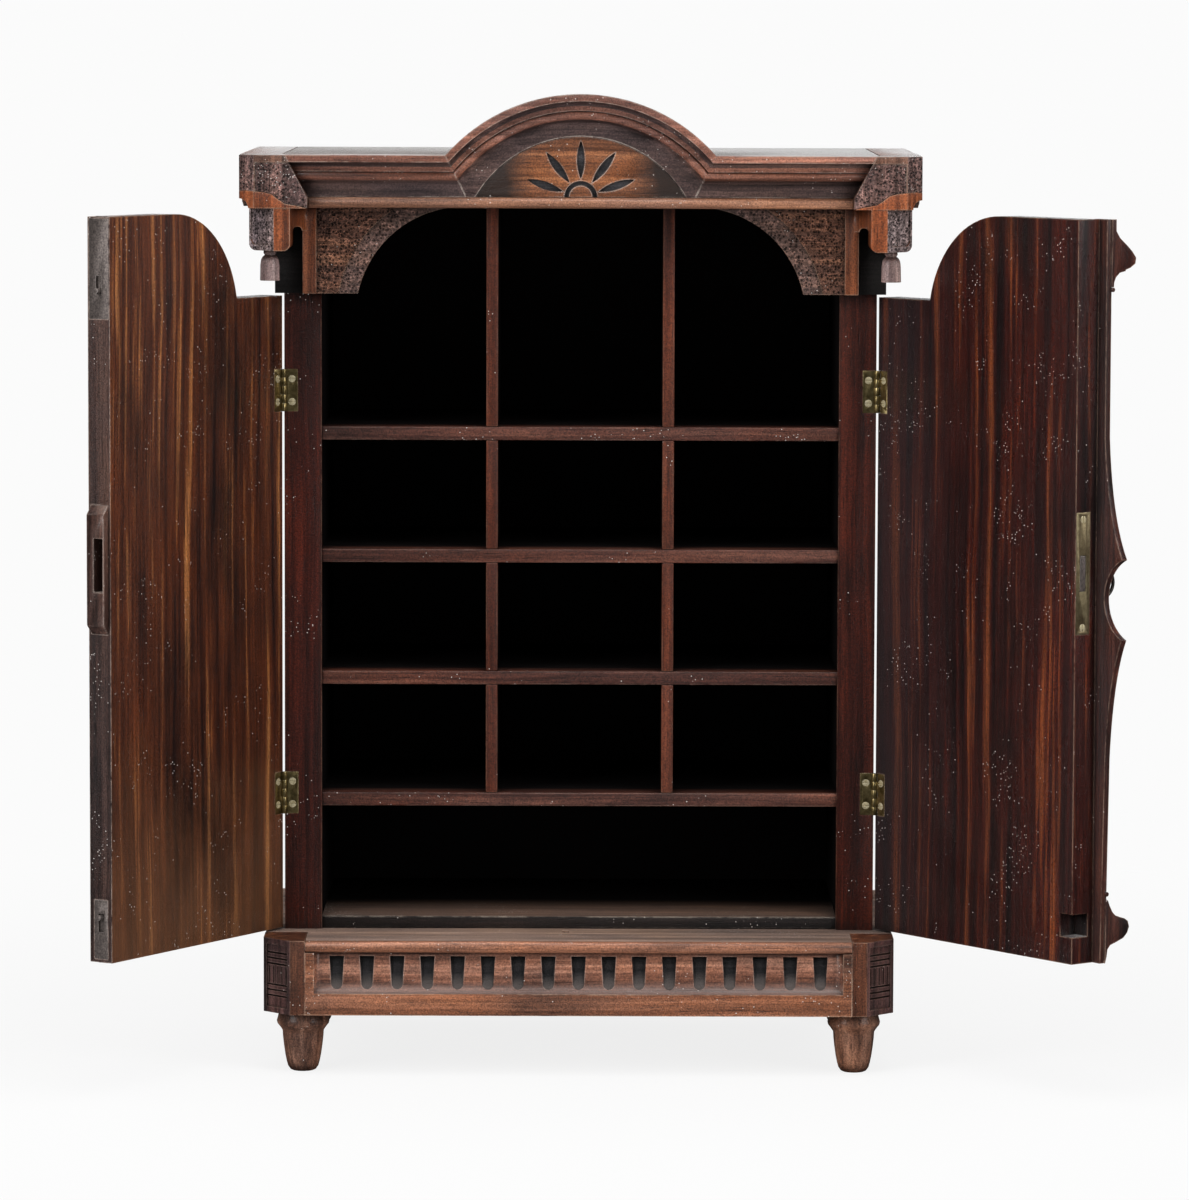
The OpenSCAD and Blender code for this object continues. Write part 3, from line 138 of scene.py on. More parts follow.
paper_mix = paper_nodes.new("ShaderNodeMixShader")
paper_links.new(paper_place.outputs["Object"], paper_reach.inputs[0])
paper_links.new(paper_reach.outputs["Value"], paper_fade.inputs["Value"])
paper_links.new(paper_shade.outputs[0], paper_add.inputs[0])
paper_links.new(paper_near.outputs[0], paper_add.inputs[1])
paper_links.new(paper_fade.outputs[0], paper_seen.inputs["Fac"])
paper_links.new(paper_add.outputs[0], paper_seen.inputs[1])
paper_links.new(paper_far.outputs[0], paper_seen.inputs[2])
paper_links.new(paper_path.outputs["Is Camera Ray"], paper_mix.inputs["Fac"])
paper_links.new(paper_path.outputs["Is Glossy Ray"], paper_still.inputs["Fac"])
paper_links.new(paper_matt.outputs[0], paper_still.inputs[1])
paper_links.new(paper_dim.outputs[0], paper_still.inputs[2])
paper_links.new(paper_still.outputs[0], paper_mix.inputs[1])
paper_links.new(paper_seen.outputs[0], paper_mix.inputs[2])
paper_links.new(paper_mix.outputs[0], paper_out.inputs["Surface"])
floor_mesh.materials.append(paper)

# ------------------------------------------------------ the case's side boards
# Two broad walnut boards, sawn and planed with the grain upright, stained dark
# and varnished. Handling has rounded their edges and rubbed them pale.


def new_group(name, inputs, outputs):
    """An empty shader node group with the named sockets. Gives back the group and its two end nodes."""
    group = bpy.data.node_groups.new(name, "ShaderNodeTree")
    for label, kind, value in inputs:
        socket = group.interface.new_socket(name=label, in_out="INPUT", socket_type=kind)
        socket.default_value = value
    for label, kind in outputs:
        group.interface.new_socket(name=label, in_out="OUTPUT", socket_type=kind)
    return group, group.nodes.new("NodeGroupInput"), group.nodes.new("NodeGroupOutput")


def node(tree, kind, links=None, **values):
    """A node with the given properties; links maps its input names or numbers to sockets or numbers."""
    made = tree.nodes.new(kind)
    for key, value in values.items():
        setattr(made, key, value)
    for key, source in (links or {}).items():
        socket = made.inputs[key]
        if isinstance(source, bpy.types.NodeSocket):
            tree.links.new(source, socket)
        else:
            socket.default_value = source
    return made


def ramp(tree, source, stops):
    """A colour ramp through the given (place, grey or colour) stops; gives back its colour."""
    made = node(tree, "ShaderNodeValToRGB", {"Fac": source})
    band = made.color_ramp
    while len(band.elements) < len(stops):
        band.elements.new(0.5)
    for element, (place, shade) in zip(band.elements, stops):
        element.position = place
        element.color = (*shade, 1.0) if isinstance(shade, tuple) else (shade, shade, shade, 1.0)
    return made.outputs["Color"]


def maths(tree, how, a, b=0.0):
    """One sum, product or other step on two values, unclamped."""
    return node(tree, "ShaderNodeMath", {0: a, 1: b}, operation=how).outputs[0]


def blend_colour(tree, how, share, a, b):
    """Two colours joined in the given way, by the given share."""
    made = node(tree, "ShaderNodeMix", {"Factor": share}, data_type="RGBA", blend_type=how)
    for key, source in ((6, a), (7, b)):
        if isinstance(source, bpy.types.NodeSocket):
            tree.links.new(source, made.inputs[key])
        else:
            made.inputs[key].default_value = (*source, 1.0)
    return made.outputs[2]


def grain_group():
    """Walnut grain along Z of the given place, in metres: streaks, lines, open pores, clouds and grit."""
    group, start, end = new_group(
        "walnut_grain",
        [("Place", "NodeSocketVector", (0.0, 0.0, 0.0))],
        [("Streak", "NodeSocketFloat"), ("Line", "NodeSocketFloat"), ("Pore", "NodeSocketFloat"),
         ("Cloud", "NodeSocketFloat"), ("Grit", "NodeSocketFloat")],
    )
    place = start.outputs["Place"]
    bend = node(group, "ShaderNodeTexNoise", {"Vector": place, "Scale": 7.0, "Detail": 2.0})
    sway = node(group, "ShaderNodeVectorMath", {0: bend.outputs["Color"], 1: (0.007, 0.007, 0.0)},
                operation="MULTIPLY")
    bent = node(group, "ShaderNodeVectorMath", {0: place, 1: sway.outputs[0]}, operation="ADD").outputs[0]
    broad = node(group, "ShaderNodeMapping", {"Vector": bent, "Scale": (140.0, 140.0, 2.6)})
    fine = node(group, "ShaderNodeMapping", {"Vector": bent, "Scale": (620.0, 620.0, 9.0)})
    short = node(group, "ShaderNodeMapping", {"Vector": bent, "Scale": (1500.0, 1500.0, 75.0)})
    streak = node(group, "ShaderNodeTexNoise",
                  {"Vector": broad.outputs[0], "Scale": 1.0, "Detail": 5.0, "Roughness": 0.62})
    line = node(group, "ShaderNodeTexNoise",
                {"Vector": fine.outputs[0], "Scale": 1.0, "Detail": 3.0, "Roughness": 0.6})
    pore = node(group, "ShaderNodeTexNoise", {"Vector": short.outputs[0], "Scale": 1.0, "Detail": 1.0})
    patchy = node(group, "ShaderNodeMapping", {"Vector": place, "Scale": (27.0, 27.0, 9.0)})
    cloud = node(group, "ShaderNodeTexNoise",
                 {"Vector": patchy.outputs[0], "Scale": 1.0, "Detail": 5.0, "Roughness": 0.62})
    grit = node(group, "ShaderNodeTexNoise",
                {"Vector": place, "Scale": 1150.0, "Detail": 3.0, "Roughness": 0.7})
    rough_grit = node(group, "ShaderNodeMapRange",
                      {"Value": grit.outputs["Fac"], "From Min": 0.33, "From Max": 0.67})
    wide = node(group, "ShaderNodeMapRange",
                {"Value": streak.outputs["Fac"], "From Min": 0.3, "From Max": 0.7})
    thin = node(group, "ShaderNodeMapRange",
                {"Value": line.outputs["Fac"], "From Min": 0.3, "From Max": 0.72})
    open_pore = node(group, "ShaderNodeMapRange",
                     {"Value": pore.outputs["Fac"], "From Min": 0.60, "From Max": 0.72})
    patch = node(group, "ShaderNodeMapRange",
                 {"Value": cloud.outputs["Fac"], "From Min": 0.32, "From Max": 0.68})
    for label, made in (("Streak", wide), ("Line", thin), ("Pore", open_pore), ("Cloud", patch),
                        ("Grit", rough_grit)):
        group.links.new(made.outputs[0], end.inputs[label])
    return group


def wear_group():
    """Edge rub where the surface turns sharply, broken up by noise, and a darkening mask from ambient
    occlusion where the surface is closed in: painted shade, with some dirt.
    """
    group, start, end = new_group(
        "edge_rub_and_recess_shade",
        [("Place", "NodeSocketVector", (0.0, 0.0, 0.0)), ("Reach", "NodeSocketFloat", 0.0012)],
        [("Rub", "NodeSocketFloat"), ("Shade_and_grime", "NodeSocketFloat")],
    )
    place = start.outputs["Place"]
    turned = node(group, "ShaderNodeBevel", {"Radius": start.outputs["Reach"]}, samples=4)
    flat = node(group, "ShaderNodeNewGeometry")
    along = node(group, "ShaderNodeVectorMath", {0: turned.outputs[0], 1: flat.outputs["Normal"]},
                 operation="DOT_PRODUCT")
    turn = maths(group, "SUBTRACT", 1.0, along.outputs["Value"])
    sharp = node(group, "ShaderNodeMapRange",
                 {"Value": turn, "From Min": 0.010, "From Max": 0.10}).outputs[0]
    closed = node(group, "ShaderNodeAmbientOcclusion", {"Distance": 0.009}, samples=4)
    open_part = node(group, "ShaderNodeMapRange",
                     {"Value": closed.outputs["AO"], "From Min": 0.50, "From Max": 0.86}).outputs[0]
    chip = node(group, "ShaderNodeTexNoise",
                {"Vector": place, "Scale": 210.0, "Detail": 5.0, "Roughness": 0.7})
    patch = node(group, "ShaderNodeTexNoise", {"Vector": place, "Scale": 26.0, "Detail": 2.0})
    share = maths(group, "ADD", maths(group, "MULTIPLY", chip.outputs["Fac"], 0.7),
                  maths(group, "MULTIPLY", patch.outputs["Fac"], 0.5))
    broken = node(group, "ShaderNodeMapRange",
                  {"Value": share, "From Min": 0.50, "From Max": 0.66}).outputs[0]
    rub = maths(group, "MULTIPLY", maths(group, "MULTIPLY", sharp, open_part), broken)
    group.links.new(rub, end.inputs["Rub"])
    group.links.new(maths(group, "SUBTRACT", 1.0, open_part), end.inputs["Shade_and_grime"])
    return group


def punch_group():
    """A ground stippled with a blunt punch: close round pits in a jittered grid."""
    group, start, end = new_group(
        "punched_ground",
        [("Place", "NodeSocketVector", (0.0, 0.0, 0.0)), ("Pitch", "NodeSocketFloat", 600.0)],
        [("Pit", "NodeSocketFloat"), ("Tone", "NodeSocketFloat")],
    )
    pits = node(group, "ShaderNodeTexVoronoi", {"Vector": start.outputs["Place"],
                                                "Scale": start.outputs["Pitch"], "Randomness": 0.85})
    pit = node(group, "ShaderNodeMapRange",
               {"Value": pits.outputs["Distance"], "From Min": 0.12, "From Max": 0.5})
    tone = node(group, "ShaderNodeSeparateColor", {"Color": pits.outputs["Color"]})
    group.links.new(pit.outputs[0], end.inputs["Pit"])
    group.links.new(tone.outputs[0], end.inputs["Tone"])
    return group


def speck_group():
    """Small pale flecks of chipped varnish and dust grains, which also serve as painted glints where crazed
    varnish catches the light: the cores of a few cells of a fine pattern, bunched by noise.
    """
    group, start, end = new_group(
        "pale_specks_and_glints",
        [("Place", "NodeSocketVector", (0.0, 0.0, 0.0)), ("Share", "NodeSocketFloat", 0.1)],
        [("Speck", "NodeSocketFloat")],
    )
    cells = node(group, "ShaderNodeTexVoronoi", {"Vector": start.outputs["Place"], "Scale": 1250.0})
    pick = node(group, "ShaderNodeSeparateColor", {"Color": cells.outputs["Color"]}).outputs[0]
    core = node(group, "ShaderNodeMapRange",
                {"Value": cells.outputs["Distance"], "From Min": 0.5, "From Max": 0.25})
    bunch = node(group, "ShaderNodeTexNoise",
                 {"Vector": start.outputs["Place"], "Scale": 30.0, "Detail": 5.0, "Roughness": 0.7})
    crowd = node(group, "ShaderNodeMapRange",
                 {"Value": bunch.outputs["Fac"], "From Min": 0.52, "From Max": 0.78, "To Max": 3.0})
    share = maths(group, "MULTIPLY", start.outputs["Share"], crowd.outputs[0])
    chosen = maths(group, "LESS_THAN", pick, share)
    group.links.new(maths(group, "MULTIPLY", core.outputs[0], chosen), end.inputs["Speck"])
    return group


INSIDE_HALF_WIDTH = 0.1534
INSIDE_TOP = 0.511


def depth_group():
    """How far inside the case a place lies: 0 at the front edges and outside, 1 from the reach on."""
    group, start, end = new_group(
        "inside_depth",
        [("Place", "NodeSocketVector", (0.0, 0.0, 0.0)), ("Start", "NodeSocketFloat", -0.084),
         ("Reach", "NodeSocketFloat", 0.012)],
        [("Depth", "NodeSocketFloat")],
    )
    axes = node(group, "ShaderNodeSeparateXYZ", {"Vector": start.outputs["Place"]})
    run = maths(group, "DIVIDE", maths(group, "SUBTRACT", axes.outputs["Y"], start.outputs["Start"]),
                start.outputs["Reach"])
    deep = node(group, "ShaderNodeMapRange", {"Value": run}, interpolation_type="SMOOTHSTEP").outputs[0]
    within = maths(group, "LESS_THAN", maths(group, "ABSOLUTE", axes.outputs["X"]), INSIDE_HALF_WIDTH)
    below = maths(group, "LESS_THAN", axes.outputs["Z"], INSIDE_TOP)
    inside = maths(group, "MULTIPLY", within, below)
    group.links.new(maths(group, "MULTIPLY", deep, inside), end.inputs["Depth"])
    return group


WALNUT_GRAIN = grain_group()
EDGE_RUB_AND_RECESS_SHADE = wear_group()
PUNCHED_GROUND = punch_group()
PALE_SPECKS_AND_GLINTS = speck_group()
INSIDE_DEPTH = depth_group()


PORE_SHADE = (0.2, 0.16, 0.15)
DUST_GREY = (0.36, 0.29, 0.25)
SPECK_AND_GLINT_PALE = (0.72, 0.66, 0.62)
STAIN_AND_SHADE_BLACK = (0.007, 0.006, 0.006)
VARNISH_SPECULAR = 0.35
VARNISH_ROUGHNESS = 0.22
BLOOM_ROUGHNESS = 0.3
CLOUD_STOPS = [(0.0, (0.28, 0.31, 0.38)), (0.4, 0.95), (1.0, (1.5, 1.38, 1.15))]


def walnut(name, along, dark, mid, light, rub=(0.30, 0.17, 0.10), rub_share=0.8, gloss=0.3, coat=0.5,
           grime_and_shade=0.75, dust=0.0, punched=0.0, reach=0.0012, relief=0.00010, specks_and_glints=0.0, blacken_with_shade=None,
           washes=(), bloom=0.0, stops=(0.0, 0.5, 1.0), soot_and_shade=(0.16, 0.12, 0.11)):
    """Varnished walnut. The grain runs along the axis named by along; its streaks go through dark, mid and
    light. blacken is (y where the near-black finish starts inside the case, depth at which it is full), in
    metres: dark staining with painted shade, deepening from the front edges inward, which also takes away the
    varnish's gloss. Each wash is (axis, start, stop, colour, share): the colour fades in from start to stop
    along z or |x|. bloom is the sheen of fine dust on faces that lie level."""
    made = bpy.data.materials.new(name)
    made.use_nodes = True
    tree = made.node_tree
    tree.nodes.clear()
    out = node(tree, "ShaderNodeOutputMaterial")
    skin = node(tree, "ShaderNodeBsdfPrincipled")
    tree.links.new(skin.outputs[0], out.inputs["Surface"])
    here = node(tree, "ShaderNodeTexCoord").outputs["Object"]
    turns = {"z": (0.0, 0.0, 0.0), "x": (0.0, math.radians(90.0), 0.0)}
    laid = node(tree, "ShaderNodeMapping", {"Vector": here, "Rotation": turns[along]}).outputs[0]
    grain = node(tree, "ShaderNodeGroup", node_tree=WALNUT_GRAIN)
    tree.links.new(laid, grain.inputs["Place"])
    wear = node(tree, "ShaderNodeGroup", node_tree=EDGE_RUB_AND_RECESS_SHADE)
    wear.inputs["Reach"].default_value = reach
    tree.links.new(here, wear.inputs["Place"])
    base = ramp(tree, grain.outputs["Streak"], list(zip(stops, (dark, mid, light))))
    lined = blend_colour(tree, "MULTIPLY", 0.6, base,
                         ramp(tree, grain.outputs["Line"], [(0.0, 0.35), (1.0, 1.45)]))
    clouded = blend_colour(tree, "MULTIPLY", 0.8, lined, ramp(tree, grain.outputs["Cloud"], CLOUD_STOPS))
    gritty = blend_colour(tree, "MULTIPLY", 0.85, clouded,
                          ramp(tree, grain.outputs["Grit"], [(0.0, 0.35), (1.0, 1.6)]))
    coloured = blend_colour(tree, "MULTIPLY", maths(tree, "MULTIPLY", grain.outputs["Pore"], 0.6), gritty,
                            PORE_SHADE)
    height = maths(tree, "ADD", maths(tree, "MULTIPLY", grain.outputs["Line"], 0.5),
                   maths(tree, "MULTIPLY", grain.outputs["Pore"], -1.0))
    height = maths(tree, "ADD", height, grain.outputs["Grit"])
    if punched:
        ground = node(tree, "ShaderNodeGroup", node_tree=PUNCHED_GROUND)
        tree.links.new(here, ground.inputs["Place"])
        ground.inputs["Pitch"].default_value = punched
        # The pits are painted dark and the ridges between them light: painted shade and light of the punched
        # relief.
        coloured = blend_colour(tree, "MULTIPLY", 0.9, coloured,
                                ramp(tree, ground.outputs["Pit"], [(0.0, 0.12), (0.5, 0.8), (1.0, 2.0)]))
        coloured = blend_colour(tree, "MULTIPLY", 0.8, coloured,
                                ramp(tree, ground.outputs["Tone"], [(0.0, 0.45), (0.8, 1.1), (1.0, 2.2)]))
        height = maths(tree, "ADD", height, maths(tree, "MULTIPLY", ground.outputs["Pit"], 3.0))
    if washes:
        axes = node(tree, "ShaderNodeSeparateXYZ", {"Vector": here})
        run = {"z": axes.outputs["Z"], "|x|": maths(tree, "ABSOLUTE", axes.outputs["X"])}
        for axis, start, stop, colour, share in washes:
            tatter = maths(tree, "MULTIPLY", maths(tree, "SUBTRACT", grain.outputs["Cloud"], 0.5),
                           (stop - start) * 0.6)
            fade = node(tree, "ShaderNodeMapRange", {"Value": maths(tree, "ADD", run[axis], tatter),
                                                     "From Min": start, "From Max": stop, "To Max": share})
            coloured = blend_colour(tree, "MIX", fade.outputs[0], coloured, colour)
    # Darker where the surface is closed in: painted shade, with some dirt.
    grimed_and_shaded = blend_colour(tree, "MULTIPLY", maths(tree, "MULTIPLY", wear.outputs["Shade_and_grime"], grime_and_shade),
                         coloured, soot_and_shade)
    worn = blend_colour(tree, "MIX", maths(tree, "MULTIPLY", wear.outputs["Rub"], rub_share), grimed_and_shaded, rub)
    facing = node(tree, "ShaderNodeNewGeometry").outputs["Normal"]
    up = node(tree, "ShaderNodeSeparateXYZ", {"Vector": facing})
    lying = node(tree, "ShaderNodeMapRange",
                 {"Value": up.outputs["Z"], "From Min": 0.6, "From Max": 0.98}).outputs[0]
    if dust:
        worn = blend_colour(tree, "MIX", maths(tree, "MULTIPLY", lying, dust), worn, DUST_GREY)
    # Pale flecks: chipped varnish and dust, and painted glints of light on the varnish.
    if specks_and_glints:
        chips_and_glints = node(tree, "ShaderNodeGroup", node_tree=PALE_SPECKS_AND_GLINTS)
        tree.links.new(here, chips_and_glints.inputs["Place"])
        chips_and_glints.inputs["Share"].default_value = specks_and_glints
        worn = blend_colour(tree, "MIX", chips_and_glints.outputs["Speck"], worn, SPECK_AND_GLINT_PALE)
    shine = [coat, VARNISH_SPECULAR]
    # Near black with depth inside the case: dark staining with painted shade; the varnish's gloss fades out
    # with it.
    if blacken_with_shade:
        stain_and_shade = node(tree, "ShaderNodeGroup", node_tree=INSIDE_DEPTH)
        tree.links.new(here, stain_and_shade.inputs["Place"])
        stain_and_shade.inputs["Start"].default_value = blacken_with_shade[0]
        stain_and_shade.inputs["Reach"].default_value = blacken_with_shade[1]
        worn = blend_colour(tree, "MIX", stain_and_shade.outputs["Depth"], worn, STAIN_AND_SHADE_BLACK)
        unblackened = maths(tree, "SUBTRACT", 1.0, stain_and_shade.outputs["Depth"])
        shine = [maths(tree, "MULTIPLY", unblackened, level) for level in shine]
    tree.links.new(worn, skin.inputs["Base Color"])
    for label, level in zip(("Coat Weight", "Specular IOR Level"), shine):
        if isinstance(level, float):
            skin.inputs[label].default_value = level
        else:
            tree.links.new(level, skin.inputs[label])
    skin.inputs["Coat Roughness"].default_value = VARNISH_ROUGHNESS
    if bloom:
        tree.links.new(maths(tree, "MULTIPLY", lying, bloom), skin.inputs["Sheen Weight"])
        skin.inputs["Sheen Roughness"].default_value = BLOOM_ROUGHNESS
    dull = node(tree, "ShaderNodeMapRange",
                {"Value": grain.outputs["Cloud"], "To Min": gloss + 0.12, "To Max": gloss})
    tree.links.new(dull.outputs[0], skin.inputs["Roughness"])
    orange = node(tree, "ShaderNodeTexNoise",
                  {"Vector": here, "Scale": 420.0, "Detail": 3.0, "Roughness": 0.6})
    height = maths(tree, "ADD", height, maths(tree, "MULTIPLY", orange.outputs["Fac"], 0.9))
    bump = node(tree, "ShaderNodeBump", {"Height": height, "Strength": 1.0, "Distance": relief})
    tree.links.new(bump.outputs["Normal"], skin.inputs["Normal"])
    return made


def eased(node_name, body, finish, width=0.0006, angle=32.0, parts=()):
    """The node's own shape, with its doubles merged, its flat parts joined and its sharp edges rounded.
    Each of the parts is (finish, test): the test gets the faces' centres and normals and picks the faces."""
    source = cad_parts[node_name]
    mesh = source.data.copy()
    mesh.name = node_name + "_eased"
    shape = bmesh.new()
    shape.from_mesh(mesh)
    bmesh.ops.remove_doubles(shape, verts=shape.verts, dist=1e-6)
    bmesh.ops.dissolve_limit(shape, angle_limit=math.radians(0.6), verts=shape.verts, edges=shape.edges)
    shape.to_mesh(mesh)
    shape.free()
    mesh.materials.clear()
    mesh.materials.append(finish)
    if parts:
        centres = np.empty(len(mesh.polygons) * 3)
        normals = np.empty(len(mesh.polygons) * 3)
        mesh.polygons.foreach_get("center", centres)
        mesh.polygons.foreach_get("normal", normals)
        picked = np.zeros(len(mesh.polygons), dtype=np.int32)
        for number, (part_finish, test) in enumerate(parts, 1):
            mesh.materials.append(part_finish)
            picked[test(centres.reshape(-1, 3), normals.reshape(-1, 3))] = number
        mesh.polygons.foreach_set("material_index", picked)
    mesh.shade_smooth()
    piece = bpy.data.objects.new(node_name + "_eased", mesh)
    view_scene.collection.objects.link(piece)
    round_over = piece.modifiers.new("round_over", "BEVEL")
    round_over.width = width
    round_over.segments = 2
    round_over.limit_method = "ANGLE"
    round_over.angle_limit = math.radians(angle)
    round_over.use_clamp_overlap = True
    round_over.harden_normals = True
    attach(piece, body)
    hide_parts(node_name)


# The inner faces go near black inside the case: dark staining with painted shade.
SIDE_WALNUT = walnut("side_walnut", "z", (0.0231, 0.0028, 0.0008), (0.0578, 0.0068, 0.0016),
                     (0.116, 0.0158, 0.0037),
                     rub=(0.17, 0.080, 0.045), gloss=0.34, coat=0.3, specks_and_glints=0.03, blacken_with_shade=(-0.082, 0.004))
for side_board in ("left_side", "right_side"):
    eased(side_board, "case", SIDE_WALNUT, width=0.0009)
TOP_WALNUT = walnut("top_walnut", "x", (0.030, 0.015, 0.011), (0.075, 0.036, 0.024), (0.13, 0.066, 0.042),
                    rub=(0.36, 0.24, 0.17), gloss=0.42, coat=0.2, dust=0.2, bloom=1.0)
eased("top_board", "case", TOP_WALNUT, width=0.0009)

# ------------------------------------------------- floor, shelves and dividers
# Thinner walnut boards in grooves, stained dark and painted near black inside as shade. Their front edges
# stay brown, the floor board fades to black further in as painted shade, and its front is painted dark as
# shade.

# Near-black finish for the inside of the case, the back panel's front and the spandrels' backs: dark staining
# with painted shade.
BLACK_STAIN_AND_SHADE = walnut("black_stain_and_shade", "x", (0.004, 0.0035, 0.0035), (0.007, 0.006, 0.006),
                     (0.012, 0.010, 0.010),
                     rub=(0.006, 0.004, 0.004), gloss=0.7, coat=0.0, blacken_with_shade=(-0.2, 0.01))
BACK_WALNUT = walnut("back_walnut", "z", (0.040, 0.020, 0.012), (0.10, 0.052, 0.032), (0.19, 0.105, 0.068),
                     rub=(0.30, 0.20, 0.14), gloss=0.6, coat=0.0, specks_and_glints=0.02)
# The back panel's front face, inside the case, takes the near-black finish: dark staining with painted shade.
eased("back_panel", "case", BACK_WALNUT, width=0.0002,
      parts=[(BLACK_STAIN_AND_SHADE, lambda middle, normal: normal[:, 1] < -0.9)])
SHELF_WALNUT = walnut("shelf_walnut", "x", (0.0253, 0.0066, 0.005), (0.0918, 0.0284, 0.0183),
                      (0.196, 0.0756, 0.0498),
                      rub=(0.30, 0.19, 0.15), gloss=0.42, coat=0.15, specks_and_glints=0.03, blacken_with_shade=(-0.083, 0.022))
for shelf_number in range(1, 5):
    eased(f"shelf_{shelf_number}", "case", SHELF_WALNUT, width=0.0007)
DIVIDER_WALNUT = walnut("divider_walnut", "z", (0.0272, 0.0049, 0.002), (0.086, 0.0183, 0.0071),
                        (0.167, 0.0422, 0.0182),
                        rub=(0.26, 0.14, 0.09), gloss=0.42, coat=0.15, specks_and_glints=0.02, blacken_with_shade=(-0.083, 0.008))
for shelf_number in range(1, 5):
    for hand in ("left", "right"):
        eased(f"divider_{shelf_number}_{hand}", "case", DIVIDER_WALNUT, width=0.0007)
FLOOR_WALNUT = walnut("floor_walnut", "x", (0.0429, 0.0206, 0.0133), (0.111, 0.0591, 0.0399),
                      (0.232, 0.132, 0.0921),
                      rub=(0.42, 0.35, 0.28), rub_share=1.0, gloss=0.5, coat=0.1, dust=0.12, specks_and_glints=0.06,
                      reach=0.0016, blacken_with_shade=(-0.055, 0.045))
# The floor board's front face is painted near black as shade.
FLOOR_FRONT_SHADE = walnut("floor_front_shade", "x", (0.006, 0.004, 0.004), (0.014, 0.009, 0.008), (0.030, 0.020, 0.018),
                     rub=(0.55, 0.46, 0.38), rub_share=1.0, gloss=0.5, coat=0.1, reach=0.0016, specks_and_glints=0.05)
eased("floor_board", "case", FLOOR_WALNUT, width=0.0007,
      parts=[(FLOOR_FRONT_SHADE, lambda middle, normal: normal[:, 1] < -0.9)])

# ------------------------------------------------------------------ the plinth
# A carved box: gouged flutes in a hollow frieze, a half-round ledge above, and
# canted blocks cut with a fretted panel. The arrises are rubbed to orange-brown.

LEDGE_WALNUT = walnut("ledge_walnut", "x", (0.0994, 0.0575, 0.0418), (0.338, 0.217, 0.168),
                      (0.656, 0.451, 0.366),
                      rub=(0.55, 0.43, 0.35), gloss=0.40, coat=0.2, dust=0.2, specks_and_glints=0.08)
NOSING_WALNUT = walnut("nosing_walnut", "x", (0.102, 0.0375, 0.0182), (0.323, 0.132, 0.0728),
                       (0.612, 0.285, 0.175),
                       rub=(0.55, 0.40, 0.30), gloss=0.34, coat=0.4, specks_and_glints=0.05)
FASCIA_WALNUT = walnut("fascia_walnut", "x", (0.0632, 0.0193, 0.0086), (0.211, 0.0771, 0.0378),
                       (0.379, 0.159, 0.09),
                       rub=(0.55, 0.37, 0.26), gloss=0.34, coat=0.4, grime_and_shade=0.95, specks_and_glints=0.05)
# The grey wash at the foot of the sunk field is a painted highlight along its bottom cove.
FIELD_WALNUT = walnut("field_walnut", "x", (0.0824, 0.0282, 0.0168), (0.309, 0.125, 0.0749),
                      (0.618, 0.302, 0.197),
                      rub=(0.45, 0.31, 0.25), rub_share=1.0, gloss=0.34, coat=0.35, grime_and_shade=0.95, specks_and_glints=0.03,
                      washes=[("z", 0.056, 0.049, (0.20, 0.165, 0.155), 0.75)])
# The flutes are painted near black as shade, and the grey wash at their feet is painted light where they
# catch it.
FLUTE_SHADE_AND_LIGHT = walnut("flute_shade_and_light", "x", (0.004, 0.004, 0.005), (0.012, 0.011, 0.013),
                      (0.030, 0.026, 0.028),
                      rub=(0.30, 0.25, 0.23), gloss=0.4, coat=0.2, grime_and_shade=0.8,
                      washes=[("z", 0.061, 0.052, (0.14, 0.115, 0.105), 0.75)])
BLOCK_WALNUT = walnut("block_walnut", "z", (0.0476, 0.0132, 0.0052), (0.143, 0.0453, 0.0198),
                      (0.265, 0.0991, 0.046),
                      rub=(0.42, 0.26, 0.18), gloss=0.36, coat=0.3, grime_and_shade=0.95, specks_and_glints=0.05)
PANEL_WALNUT = walnut("panel_walnut", "z", (0.0284, 0.0138, 0.0139), (0.0966, 0.0414, 0.037),
                      (0.199, 0.092, 0.0834),
                      rub=(0.20, 0.13, 0.11), gloss=0.4, coat=0.25, grime_and_shade=0.95, specks_and_glints=0.03)
RAIL_WALNUT = walnut("rail_walnut", "x", (0.022, 0.0060, 0.0035), (0.060, 0.018, 0.010), (0.13, 0.050, 0.028),
                     rub=(0.26, 0.15, 0.10), gloss=0.36, coat=0.3, specks_and_glints=0.03)
LEDGE_FRONT = -0.135
NOSE_DEPTH = 0.004
FIELD_DEPTHS = (0.00005, 0.0051)
FIELD_FOOT = 0.0485
FLUTE_DEPTHS = (0.00505, 0.012)
FLUTE_FOOT = 0.049
COS_45 = 0.7071


def between(values, limits):
    """Which of the values lie between the two limits."""
    return (values > limits[0]) & (values < limits[1])


def flutes(middle, normal):
    """Faces of the frieze board that lie deeper than its sunk field."""
    return between(middle[:, 1] - LEDGE_FRONT, FLUTE_DEPTHS) & (middle[:, 2] > FLUTE_FOOT)


def field(middle, normal):
    """The sunk field and its coves."""
    return between(middle[:, 1] - LEDGE_FRONT, FIELD_DEPTHS) & (middle[:, 2] > FIELD_FOOT)


def canted(middle, normal):
    """Faces that stand at 45 degrees to the front."""
    return (np.abs(np.abs(normal[:, 0]) - COS_45) < 0.02) & (np.abs(normal[:, 2]) < 0.1)


def nosing(middle, normal):
    """The half-round nose of the ledge board."""
    return (normal[:, 1] < -0.2) & (middle[:, 1] < LEDGE_FRONT + NOSE_DEPTH)


